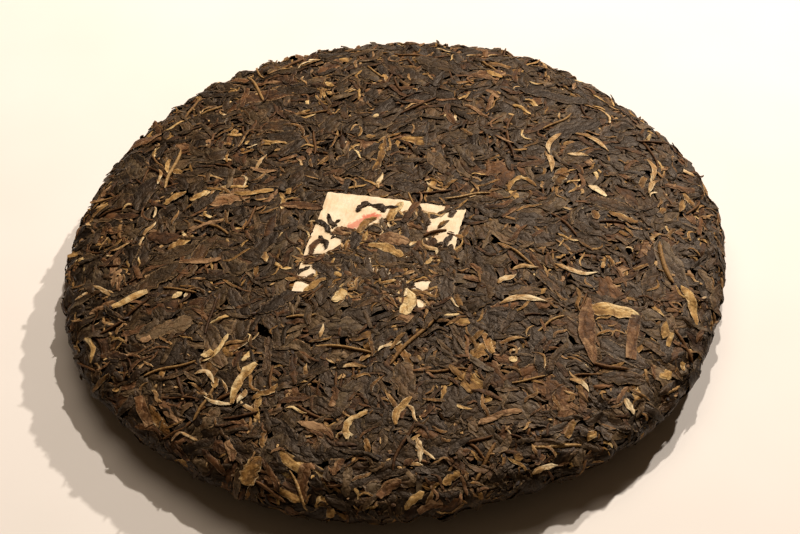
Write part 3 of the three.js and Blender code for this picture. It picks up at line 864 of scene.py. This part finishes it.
# Leaf bits on the bare paper: kind, pile, u, v, heading, length, width, bend, tone
TICKET_BITS = (
    ("strip", "charcoal_leaves", -9.5, 16.1, 60, 5.2, 2.0, 0.14, 0.0),
    ("twist", "charcoal_leaves", -8.4, 17.3, 15, 3.0, 1.2, 0.1, 0.0),
    ("strip", "charcoal_leaves", -4.4, 16.8, -29, 6.0, 2.2, 0.12, 0.0),
    ("twist", "charcoal_leaves", -1.2, 17.0, 24, 5.6, 1.3, 0.1, 0.0),
    ("strip", "tan_leaves", 0.9, 15.4, 74, 9.2, 2.6, 0.05, 0.6),
    ("strip", "brown_leaves", 5.7, 16.1, 71, 10.0, 2.4, 0.03, 0.4),
    ("strip", "dark_rolled_leaves", 10.0, 14.3, -54, 6.6, 2.0, 0.1, 0.1),
    ("strip", "tan_leaves", -6.4, 8.6, 62, 8.2, 2.2, 0.15, 0.35),
    ("twist", "brown_leaves", 8.2, 10.4, -20, 5.3, 1.4, 0.0, 0.7),
    ("blade", "tan_leaves", 2.1, -0.6, -16, 11.4, 3.0, 0.12, 0.6),
    ("strip", "charcoal_leaves", -18.9, 6.3, -35, 7.0, 1.7, 0.14, 0.05),
    ("twist", "charcoal_leaves", -17.2, 8.7, -48, 6.2, 1.4, -0.16, 0.05),
    ("twist", "dark_rolled_leaves", -15.6, 7.6, 70, 4.0, 1.1, 0.2, 0.1),
    ("strip", "brown_leaves", -19.0, -2.6, 74, 6.8, 1.9, 0.18, 0.3),
    ("strip", "charcoal_leaves", -16.9, -0.5, -56, 6.0, 1.7, 0.16, 0.05),
    ("twist", "charcoal_leaves", -20.0, -12.3, 52, 4.4, 1.1, 0.1, 0.1),
    ("twist", "tan_leaves", 16.3, 13.1, 55, 4.5, 1.5, 0.05, 0.3),
    ("stem", "stems", 14.4, 9.1, 30, 7.4, 1.1, 0.1, 0.3),
    ("strip", "charcoal_leaves", 18.9, 6.2, 76, 5.0, 1.8, 0.16, 0.0),
    ("twist", "dark_rolled_leaves", 17.2, 4.6, 20, 3.6, 1.2, 0.2, 0.1),
    ("strip", "charcoal_leaves", 18.0, 17.9, 78, 3.4, 1.6, 0.05, 0.05),
    ("bud", "golden_buds", 15.3, 1.8, -26, 4.2, 1.7, 0.35, 0.75),
    ("blade", "tan_leaves", -7.2, -20.9, 50, 5.6, 3.4, 0.0, 0.95),
    ("strip", "tan_leaves", -15.5, -17.9, 47, 7.8, 1.9, 0.03, 0.62),
)


def ticket_to_cake(u, v):
    x = TICKET_CENTRE[0] + u * math.cos(TICKET_TURN) - v * math.sin(TICKET_TURN)
    y = TICKET_CENTRE[1] + u * math.sin(TICKET_TURN) + v * math.cos(TICKET_TURN)
    return x, y


def cake_to_ticket(x, y):
    dx, dy = x - TICKET_CENTRE[0], y - TICKET_CENTRE[1]
    turn = -TICKET_TURN
    return dx * math.cos(turn) - dy * math.sin(turn), dx * math.sin(turn) + dy * math.cos(turn)


def inside_outline(u, v, outline):
    """Whether points lie in a closed outline, by the crossings of a ray."""
    hit = np.zeros(np.shape(u), bool)
    for (u0, v0), (u1, v1) in zip(outline, outline[1:] + outline[:1]):
        crosses = (v0 > v) != (v1 > v)
        at = u0 + (v - v0) * (u1 - u0) / (v1 - v0 if v1 != v0 else 1)
        hit ^= crosses & (u < at)
    return hit


def off_bare_paper(fine, allowed=0.02):
    """True where a leaf would hide paper that shows."""
    u, v = cake_to_ticket(fine[:, 0], fine[:, 1])
    hidden = np.zeros(len(u), bool)
    for outline in BARE_PAPER:
        hidden |= inside_outline(u, v, outline)
    return hidden.mean() > allowed


def lay_named(bed):
    """Lays the leaves with places of their own, a little proud: most at the rim, least on the ticket."""
    for kind, colour, x, y, heading, length, width, bend, tone in NAMED_LEAVES:
        lift = -1.1 if math.hypot(x, y) > 102 else -0.25
        lay_leaf(bed, kind, colour, x, y, heading * DEG, length, width, tone, 0.5, bend, lift)
    for kind, colour, u, v, heading, length, width, bend, tone in TICKET_BITS:
        turn = heading * DEG + TICKET_TURN
        lay_leaf(bed, kind, colour, *ticket_to_cake(u, v), turn, length, width, tone, 0.5, bend, -0.1)


def cover_ticket(bed, draw=RNG):
    """Leaves over the ticket, clear of the places where its paper shows."""
    u, v = cake_to_ticket(bed.x, bed.y)
    on_ticket = (np.abs(u) < TICKET_WIDTH / 2 + 1) & (np.abs(v) < TICKET_DEPTH / 2 + 1)
    bare = np.zeros(len(u), bool)
    for outline in BARE_PAPER:
        bare |= inside_outline(u, v, outline)
    wanted = np.flatnonzero(on_ticket & ~bare)
    for tries in range(2600):
        if tries % 10 == 0:
            left = wanted[bed.fill[wanted] <= 0]
        if len(left) < 0.015 * len(wanted):
            break
        cell = left[draw.integers(len(left))]
        covered = 1 - len(left) / len(wanted)
        kind, colour, length, width, tone, warmth = draw_leaf(draw, 0.12, 0.3 + 0.5 * covered)
        if kind not in ("sliver", "chip"):
            length *= 0.75 - 0.3 * covered
            width *= 0.9 - 0.3 * covered
        heading, lift = draw.uniform(0, math.pi), max(0.0, draw.normal(0.03, 0.06))
        lay_leaf(bed, kind, colour, bed.x[cell], bed.y[cell], heading, length, width, tone, warmth,
                 lift=lift, keep_off=off_bare_paper, deepest=0.9, flat=0.6)


TICKET_CELLS = 56
PAPER_THICKNESS = 0.12
PAPER_DEPTH = 0.42


def make_ticket(bed):
    """A thin sheet of paper, pressed down by the leaves that lie on it."""
    count = TICKET_CELLS + 1
    spots = np.linspace(-0.5, 0.5, count)
    u, v = np.meshgrid(spots * TICKET_WIDTH, spots * TICKET_DEPTH)
    torn = 0.12 * np.sin(1.7 * u + 2.1) * np.sin(2.3 * v + 0.4)
    x, y = ticket_to_cake(u + torn, v + 0.8 * torn)
    flat = np.stack([x, y], -1)
    need = np.full(u.shape, PAPER_DEPTH)
    filled = bed.fill[bed.cells(flat)]
    need = np.maximum(need, np.where(filled > 0, filled + 0.04, 0))
    step = TICKET_WIDTH / TICKET_CELLS
    for _ in range(6):
        for axis in (0, 1):
            for shift in (-1, 1):
                need = np.maximum(need, np.roll(need, shift, axis) - 0.24 * step)
    for _ in range(2):
        for axis in (0, 1):
            need = 0.5 * need + 0.25 * (np.roll(need, 1, axis) + np.roll(need, -1, axis))
    crinkle = 0.07 * np.sin(0.9 * u + 0.5 * v) * np.sin(0.35 * u - 0.8 * v)
    crinkle += 0.04 * np.sin(2.1 * u) * np.sin(1.7 * v)
    depth = need + crinkle
    upper = bed.place(np.concatenate([flat, depth[..., None]], -1))
    lower = bed.place(np.concatenate([flat, depth[..., None] + PAPER_THICKNESS], -1))
    along = between(count, 4 * TICKET_CELLS)
    spots = np.einsum("am,mnd,bn->abd", along, flat, along).reshape(-1, 2)
    deep = (along @ depth @ along.T).ravel() + PAPER_THICKNESS
    cells = bed.cells(spots)
    np.maximum.at(bed.fill, cells, deep)
    bed.open = np.flatnonzero(bed.inside & (bed.fill <= 0))
    return sheet_mesh("ticket_paper_sheet", upper, lower, u, v)


def sheet_mesh(name, upper, lower, u, v):
    """A closed sheet from matching grids, with its own unwrapped map."""
    rows, columns = u.shape
    i, j = np.meshgrid(np.arange(rows - 1), np.arange(columns - 1), indexing="ij")
    a, b = i * columns + j, i * columns + j + 1
    c, d = (i + 1) * columns + j + 1, (i + 1) * columns + j
    below = rows * columns
    top = np.stack([a, b, c, d], -1).reshape(-1, 4)
    bottom = np.stack([a, d, c, b], -1).reshape(-1, 4) + below
    ring = np.concatenate([
        np.arange(columns - 1), np.arange(rows - 1) * columns + columns - 1,
        (rows - 1) * columns + np.arange(columns - 1, 0, -1), np.arange(rows - 1, 0, -1) * columns,
    ])
    after = np.roll(ring, -1)
    walls = np.stack([ring, ring + below, after + below, after], -1)
    points = np.concatenate([upper.reshape(-1, 3), lower.reshape(-1, 3)])
    unit_u = (u - u.min()) / (u.max() - u.min())
    unit_v = (v - v.min()) / (v.max() - v.min())
    half = 0.47
    atlas_top = np.stack([0.01 + half * unit_u, 0.01 + 0.96 * unit_v], -1).reshape(-1, 2)
    atlas_low = np.stack([0.51 + half * unit_u, 0.01 + 0.96 * unit_v], -1).reshape(-1, 2)
    atlas = np.concatenate([atlas_top, atlas_low])
    marks = np.concatenate([np.stack([u, v], -1).reshape(-1, 2)] * 2)
    share = np.arange(len(ring)) / len(ring)
    wall_uv = np.stack([
        np.stack([0.01 + 0.96 * share, np.full(len(ring), 0.98)], -1),
        np.stack([0.01 + 0.96 * share, np.full(len(ring), 0.99)], -1),
        np.stack([0.01 + 0.96 * (share + 1 / len(ring)), np.full(len(ring), 0.99)], -1),
        np.stack([0.01 + 0.96 * (share + 1 / len(ring)), np.full(len(ring), 0.98)], -1),
    ], 1)
    faces = [np.concatenate([top, bottom, walls])]
    uv = np.concatenate([atlas[top].reshape(-1, 2), atlas[bottom].reshape(-1, 2), wall_uv.reshape(-1, 2)])
    grain = marks[faces[0]].reshape(-1, 2)
    return mesh_piece(name, points, faces, [("OFBake", uv), ("grain", grain)])


CORE_DEPTH = 3.3
CORE_DEPTH_AT_RIM = 1.3
CORE_RINGS = 150
CORE_SEGMENTS = 300


def make_core(draw=RNG):
    """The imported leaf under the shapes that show: a rough dark body, closed at both poles."""
    run = np.linspace(0, FULL_RUN, CORE_RINGS + 1)[1:-1]
    angle = np.arange(CORE_SEGMENTS) * 2 * math.pi / CORE_SEGMENTS
    runs, angles = np.meshgrid(run, angle, indexing="ij")
    base = on_cake(runs, angles, 0.0)
    rough = np.zeros(runs.shape)
    for size, rise in ((7.0, 0.25), (3.1, 0.2), (1.6, 0.14)):
        for _ in range(5):
            way = draw.normal(0, 1, 3)
            way *= 2 * math.pi / size / np.linalg.norm(way)
            rough += rise * np.sin(base @ way + draw.uniform(0, 2 * math.pi)) / 1.6
    towards_rim = np.clip(1 - np.abs(runs - RIM_RUN) / RIM_BAND, 0, 1)
    depth = CORE_DEPTH + (CORE_DEPTH_AT_RIM - CORE_DEPTH) * towards_rim
    ring_points = on_cake(runs, angles, -depth + rough)
    poles = on_cake(np.array([0, FULL_RUN]), np.zeros(2), -CORE_DEPTH)
    points = np.concatenate([ring_points.reshape(-1, 3), poles])
    rows = len(run)
    i, j = np.meshgrid(np.arange(rows - 1), np.arange(CORE_SEGMENTS), indexing="ij")
    k = (j + 1) % CORE_SEGMENTS
    quads = np.stack([i * CORE_SEGMENTS + j, (i + 1) * CORE_SEGMENTS + j,
                      (i + 1) * CORE_SEGMENTS + k, i * CORE_SEGMENTS + k], -1).reshape(-1, 4)
    spin = np.arange(CORE_SEGMENTS)
    after = (spin + 1) % CORE_SEGMENTS
    top_pole = rows * CORE_SEGMENTS
    last = (rows - 1) * CORE_SEGMENTS
    caps = np.concatenate([
        np.stack([np.full(CORE_SEGMENTS, top_pole), spin, after], -1),
        np.stack([np.full(CORE_SEGMENTS, top_pole + 1), last + after, last + spin], -1),
    ])
    return mesh_piece("pressed_core", points, [quads, caps], smooth_angle=60)


# Geometry Nodes


def tree_with(name, numbers=(), materials=()):
    """A node group for a modifier, with a mesh in, a mesh out and named inputs."""
    tree = bpy.data.node_groups.new(name, "GeometryNodeTree")
    tree.interface.new_socket("Geometry", in_out="INPUT", socket_type="NodeSocketGeometry")
    for label, value, kind in numbers:
        tree.interface.new_socket(label, in_out="INPUT", socket_type=kind).default_value = value
    for label in materials:
        tree.interface.new_socket(label, in_out="INPUT", socket_type="NodeSocketMaterial")
    tree.interface.new_socket("Geometry", in_out="OUTPUT", socket_type="NodeSocketGeometry")
    return tree, node(tree, "NodeGroupInput"), node(tree, "NodeGroupOutput")


def apply_tree(piece, tree, **given):
    """Runs the tree on a piece and returns the plain mesh that it makes, as a new piece."""
    modifier = piece.modifiers.new(tree.name, "NODES")
    modifier.node_group = tree
    for socket in tree.interface.items_tree:
        if socket.item_type == "SOCKET" and socket.in_out == "INPUT" and socket.name in given:
            modifier[socket.identifier] = given[socket.name]
    bpy.context.view_layer.update()
    depsgraph = bpy.context.evaluated_depsgraph_get()
    mesh = bpy.data.meshes.new_from_object(piece.evaluated_get(depsgraph), depsgraph=depsgraph)
    name = piece.name
    bpy.data.objects.remove(piece)
    mesh.name = name
    return put(name, mesh)


STEM_SIDES = 7


def stem_tree():
    """Round stems along drawn lines, as thick as each point's own thickness."""
    tree, given, out = tree_with(
        "stems_along_lines", (("Sides", STEM_SIDES, "NodeSocketInt"),), ("Material",))
    thickness = node(tree, "GeometryNodeInputNamedAttribute", data_type="FLOAT", inputs={"Name": "thickness"})
    line = node(tree, "GeometryNodeMeshToCurve", inputs={"Mesh": given.outputs["Geometry"]})
    section = node(tree, "GeometryNodeCurvePrimitiveCircle", inputs={
        "Resolution": given.outputs["Sides"], "Radius": 1.0})
    tube = node(tree, "GeometryNodeCurveToMesh", inputs={
        "Curve": line.outputs[0], "Profile Curve": section.outputs[0], "Scale": thickness.outputs[0],
        "Fill Caps": True})
    smooth = node(tree, "GeometryNodeSetShadeSmooth", inputs={"Geometry": tube.outputs[0]})
    real = node(tree, "GeometryNodeRealizeInstances", inputs={"Geometry": smooth.outputs[0]})
    dressed = node(tree, "GeometryNodeSetMaterial", inputs={
        "Geometry": real.outputs[0], "Material": given.outputs["Material"]})
    tree.links.new(dressed.outputs[0], out.inputs[0])
    return tree


def make_stems(material):
    points, edges, thick, tint, start = [], [], [], [], 0
    for line, radius, tone, warmth in STEMS:
        count = len(line)
        points.append(line)
        edges.append(np.stack([np.arange(count - 1), np.arange(1, count)], -1) + start)
        thick.append(radius)
        tint.append(np.tile([tone, warmth, 0.3, 1.0], (count, 1)))
        start += count
    mesh = bpy.data.meshes.new("tea_stems")
    mesh.from_pydata((np.concatenate(points) * MM).tolist(), np.concatenate(edges).tolist(), [])
    mesh.attributes.new("thickness", "FLOAT", "POINT").data.foreach_set(
        "value", (np.concatenate(thick) * MM).astype(np.float32))
    mesh.attributes.new("tint", "FLOAT_COLOR", "POINT").data.foreach_set(
        "color", np.concatenate(tint).astype(np.float32).ravel())
    return apply_tree(put("tea_stems", mesh), stem_tree(), Sides=STEM_SIDES, Material=material)


def crumb_tree():
    """Small flakes on drawn points, each turned and sized by its own values."""
    tree, given, out = tree_with("crumbs_on_points", (("Flake size", 1.0, "NodeSocketFloat"),), ("Material",))
    turn = node(tree, "GeometryNodeInputNamedAttribute", data_type="FLOAT_VECTOR", inputs={"Name": "turn"})
    size = node(tree, "GeometryNodeInputNamedAttribute", data_type="FLOAT_VECTOR", inputs={"Name": "size"})
    flake = node(tree, "GeometryNodeMeshIcoSphere", inputs={
        "Radius": given.outputs["Flake size"], "Subdivisions": 1})
    turned = node(tree, "FunctionNodeEulerToRotation", inputs={0: turn.outputs[0]})
    laid = node(tree, "GeometryNodeInstanceOnPoints", inputs={
        "Points": given.outputs["Geometry"], "Instance": flake.outputs["Mesh"],
        "Rotation": turned.outputs[0], "Scale": size.outputs[0]})
    real = node(tree, "GeometryNodeRealizeInstances", inputs={"Geometry": laid.outputs[0]})
    dressed = node(tree, "GeometryNodeSetMaterial", inputs={
        "Geometry": real.outputs[0], "Material": given.outputs["Material"]})
    tree.links.new(dressed.outputs[0], out.inputs[0])
    return tree


CRUMB_COUNT = 900


def make_crumbs(bed, material, draw=RNG):
    """Broken bits caught in the gaps between the leaves on top."""
    gaps = np.flatnonzero(bed.inside & (bed.skin > 0.55) & (bed.skin < 2.0) & (bed.fill > 0))
    u, v = cake_to_ticket(bed.x[gaps], bed.y[gaps])
    clear = np.maximum(np.abs(u) / TICKET_WIDTH, np.abs(v) / TICKET_DEPTH) > 0.55
    gaps = draw.choice(gaps[clear], CRUMB_COUNT, replace=False)
    flat = np.stack([bed.x[gaps], bed.y[gaps], bed.skin[gaps] - 0.05], -1)
    points = bed.place(flat) * MM
    size = np.stack([draw.uniform(0.5, 1.5, CRUMB_COUNT), draw.uniform(0.25, 0.6, CRUMB_COUNT),
                     draw.uniform(0.12, 0.25, CRUMB_COUNT)], -1)
    turn = np.stack([draw.normal(0, 0.25, CRUMB_COUNT), draw.normal(0, 0.25, CRUMB_COUNT),
                     draw.uniform(0, 2 * math.pi, CRUMB_COUNT)], -1)
    tint = np.stack([draw.random(CRUMB_COUNT), draw.random(CRUMB_COUNT), np.full(CRUMB_COUNT, 0.3),
                     np.ones(CRUMB_COUNT)], -1)
    mesh = bpy.data.meshes.new("tea_crumbs")
    mesh.from_pydata(points.tolist(), [], [])
    for label, kind, values, field in (("size", "FLOAT_VECTOR", size * MM, "vector"),
                                       ("turn", "FLOAT_VECTOR", turn, "vector"),
                                       ("tint", "FLOAT_COLOR", tint, "color")):
        mesh.attributes.new(label, kind, "POINT").data.foreach_set(field, values.astype(np.float32).ravel())
    return apply_tree(put("tea_crumbs", mesh), crumb_tree(), Material=material)


# Materials that aren't leaf


def bit_material(name, grit_mm, reach, stops, gloss):
    """Small dried pieces, each with its own tone, mottled by fine grit. Returns its parts."""
    material, tree, shader = new_material(name)
    place = node(tree, "ShaderNodeTexCoord").outputs["Object"]
    tint = node(tree, "ShaderNodeAttribute", attribute_name="tint").outputs["Color"]
    tone = node(tree, "ShaderNodeSeparateColor", inputs={"Color": tint}).outputs[0]
    fine = noise(tree, place, grit_mm, 3.0)
    level = sums(tree, "ADD", tone, spread(tree, fine, 0.3, 0.7, -reach, reach), clamp=True)
    tree.links.new(ramp(tree, level, stops), shader.inputs["Base Color"])
    tree.links.new(spread(tree, fine, 0.3, 0.7, 0.5, 0.7), shader.inputs["Roughness"])
    shader.inputs["Specular IOR Level"].default_value = gloss
    return material, tree, shader, fine


def stem_material():
    """Tea stems, dried: straw to reddish brown, with a fine relief."""
    stops = ((0.0, "#2e1a0c"), (0.4, "#5c3d20"), (0.75, "#987748"), (1.0, "#ceb385"))
    material, tree, shader, fine = bit_material("tea_stem_dried", 0.7, 0.18, stops, 0.25)
    shader.inputs["Specular Tint"].default_value = hex_linear("#ffe0be")
    rough_normal(tree, shader, fine, 0.15)
    return material


def crumb_material():
    """Broken leaf and stem, dried: brown grit from dark to straw."""
    stops = ((0.0, "#1c1510"), (0.55, "#4a3422"), (0.85, "#86643a"), (1.0, "#bf9c66"))
    return bit_material("tea_crumbs_dried", 0.5, 0.15, stops, 0.2)[0]


def core_material():
    """Packed leaf deep in the cake, hardly lit: dark brown, rough."""
    material, tree, shader = new_material("packed_leaf_core")
    place = node(tree, "ShaderNodeTexCoord").outputs["Object"]
    blotch = noise(tree, place, 3.0, 4.0)
    fine = noise(tree, place, 0.8, 4.0)
    colour = ramp(tree, blotch, ((0.3, "#1a1109"), (0.55, "#2f1f12"), (0.75, "#47301c")))
    tree.links.new(colour, shader.inputs["Base Color"])
    tree.links.new(spread(tree, fine, 0.3, 0.7, 0.6, 0.85), shader.inputs["Roughness"])
    shader.inputs["Specular IOR Level"].default_value = 0.2
    rough_normal(tree, shader, fine, 0.5)
    return material


# Faded strokes on the ticket, in its own frame: from, to, half width, colour and strength
TICKET_STROKES = (
    ((-10.2, 7.4), (-5.2, 12.6), 1.5, "#d2694b", 0.75),
    ((-7.6, 11.8), (-3.9, 12.9), 1.1, "#d2694b", 0.7),
    ((5.6, 11.8), (8.6, 10.4), 0.8, "#c9593f", 0.8),
    ((8.6, 9.6), (11.2, 8.6), 1.4, "#d2694b", 0.85),
)


def paper_material():
    """Unbleached cotton tissue, laid by hand and pressed: warm off-white with fibres and stains."""
    material, tree, shader = new_material("cotton_ticket_paper")
    place = node(tree, "ShaderNodeTexCoord").outputs["Object"]
    grain = node(tree, "ShaderNodeUVMap", uv_map="grain").outputs[0]
    fibre = noise(tree, grain, 0.8, 4.0, 0.6, stretch=(1.0, 0.3, 1.0), metres=False)
    stain = noise(tree, place, 6.0, 3.0)
    level = sums(tree, "ADD", sums(tree, "MULTIPLY", fibre, 0.45), sums(tree, "MULTIPLY", stain, 0.55))
    colour = ramp(tree, level, ((0.34, "#d6bb93"), (0.47, "#ebd3ad"), (0.62, "#f5e3c4")))
    parts = node(tree, "ShaderNodeSeparateXYZ", inputs={"Vector": grain})
    for (u0, v0), (u1, v1), half, code, strength in TICKET_STROKES:
        length = math.hypot(u1 - u0, v1 - v0)
        turn = math.atan2(v1 - v0, u1 - u0)
        local = node(tree, "ShaderNodeMapping", vector_type="TEXTURE", inputs={
            "Vector": grain, "Location": ((u0 + u1) / 2, (v0 + v1) / 2, 0), "Rotation": (0, 0, turn)})
        axes = node(tree, "ShaderNodeSeparateXYZ", inputs={"Vector": local.outputs[0]})
        past = sums(tree, "SUBTRACT", sums(tree, "ABSOLUTE", axes.outputs[0]), length / 2)
        past = sums(tree, "MAXIMUM", past, 0.0)
        reach = sums(tree, "SQRT", sums(tree, "ADD", sums(tree, "POWER", past, 2.0),
                                        sums(tree, "POWER", sums(tree, "ABSOLUTE", axes.outputs[1]), 2.0)))
        uneven = spread(tree, noise(tree, grain, 1.1, 3.0, metres=False), 0.3, 0.7, -0.6, 0.6)
        reach = sums(tree, "ADD", reach, uneven)
        mark = spread(tree, reach, half * 0.7, half * 1.15, strength, 0.0)
        colour = blend_colours(tree, mark, colour, hex_linear(code))
    tree.links.new(colour, shader.inputs["Base Color"])
    tree.links.new(spread(tree, fibre, 0.3, 0.7, 0.7, 0.9), shader.inputs["Roughness"])
    height = sums(tree, "ADD", fibre, sums(tree, "MULTIPLY", noise(tree, place, 2.2, 2.0), 1.2))
    rough_normal(tree, shader, height, 0.12)
    return material


def floor_material():
    """Plain pale paper on a table: matte off-white."""
    material, tree, shader = new_material("pale_table_matte")
    place = node(tree, "ShaderNodeTexCoord").outputs["Object"]
    soft = noise(tree, place, 60.0, 2.0)
    tree.links.new(ramp(tree, soft, ((0.3, "#ece7e0"), (0.7, "#f1ece6"))), shader.inputs["Base Color"])
    shader.inputs["Roughness"].default_value = 0.85
    return material


# The stage: lengths in metres
FLOOR_WIDTH = 6.0
# Lamps behind the cake, as the photo's shadows show: name, place, width, watts and colour
LAMPS = (
    ("right_lamp", (0.795, 0.96, 0.834), 0.045, 19.0, "#fff3e7"),
    ("middle_lamp", (0.19, 0.47, 0.74), 0.03, 5.5, "#fff3e7"),
    ("wide_lamp", (-0.15, 0.45, 0.88), 0.6, 2.4, "#ffebd6"),
)
ROOM_COLOUR, ROOM_STRENGTH = "#ffd3a3", 0.05


def make_camera():
    data = bpy.data.cameras.new("photo_camera")
    data.sensor_width = 36
    data.lens = CAMERA_LENS
    camera = put("photo_camera", data)
    back = Vector((0, -math.cos(CAMERA_TILT), math.sin(CAMERA_TILT)))
    aim = Vector((CAMERA_AIM[0] + AXIS[0], CAMERA_AIM[1] + AXIS[1], CAMERA_AIM[2])) * MM
    camera.location = aim + back * CAMERA_DISTANCE * MM
    facing = (-back).to_track_quat("-Z", "Y").to_matrix()
    camera.rotation_euler = (facing @ Matrix.Rotation(CAMERA_ROLL, 3, "Z")).to_euler()
    data.clip_start, data.clip_end = 0.01, 20
    bpy.context.scene.camera = camera


def area_light(name, place, size, power, code):
    """A round lamp that points at the cake."""
    data = bpy.data.lights.new(name, "AREA")
    data.shape = "DISK"
    data.size = size
    data.energy = power
    data.color = hex_linear(code)[:3]
    lamp = put(name, data)
    lamp.location = place
    lamp.rotation_euler = (-Vector(place)).to_track_quat("-Z", "Y").to_euler()


def make_stage():
    half = FLOOR_WIDTH / 2
    mesh = bpy.data.meshes.new("pale_floor")
    corners = [(-half, -half, 0), (half, -half, 0), (half, half, 0), (-half, half, 0)]
    mesh.from_pydata(corners, [], [(0, 1, 2, 3)])
    mesh.materials.append(floor_material())
    floor = put("pale_floor", mesh)
    for lamp in LAMPS:
        area_light(*lamp)
    world = bpy.data.worlds.new("soft_room")
    world.use_nodes = True
    back = world.node_tree.nodes["Background"]
    back.inputs["Color"].default_value = hex_linear(ROOM_COLOUR)
    back.inputs["Strength"].default_value = ROOM_STRENGTH
    bpy.context.scene.world = world
    bpy.context.scene.view_settings.view_transform = "Standard"


def finish_piece(piece, material, replaced):
    if material is not None:
        piece.data.materials.clear()
        piece.data.materials.append(material)
    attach(piece, "root")
    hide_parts(replaced)


# How far each side's map goes past the rim, and how many leaves it takes at most
TOP_PAST_RIM, LOW_PAST_RIM = 15.0, 4.0
MOST_TOP_LEAVES, MOST_LOW_LEAVES = 6000, 1500


def build():
    make_camera()
    top = Bed(RIM_RUN + TOP_PAST_RIM, under=False)
    lay_named(top)
    cover_ticket(top)
    ticket = make_ticket(top)
    fill_bed(top, MOST_TOP_LEAVES, 0.006)
    low = Bed(FULL_RUN - RIM_RUN + LOW_PAST_RIM, under=True)
    fill_bed(low, MOST_LOW_LEAVES, 0.02, coarse=True)
    finishes = {"charcoal_leaves": charcoal_leaf(), "dark_brown_leaves": dark_brown_leaf(),
                "dark_rolled_leaves": rolled_leaf(), "brown_leaves": brown_leaf(), "tan_leaves": tan_leaf(),
                "golden_buds": golden_bud()}
    for name, leaves in PILES.items():
        piece = leaves.build()
        finish_piece(piece, finishes[name.removeprefix("under_")], "tea_cake")
    finish_piece(make_stems(stem_material()), None, "tea_cake")
    finish_piece(make_crumbs(top, crumb_material()), None, "tea_cake")
    finish_piece(make_core(), core_material(), "tea_cake")
    finish_piece(ticket, paper_material(), "paper_ticket")
    make_stage()


build()
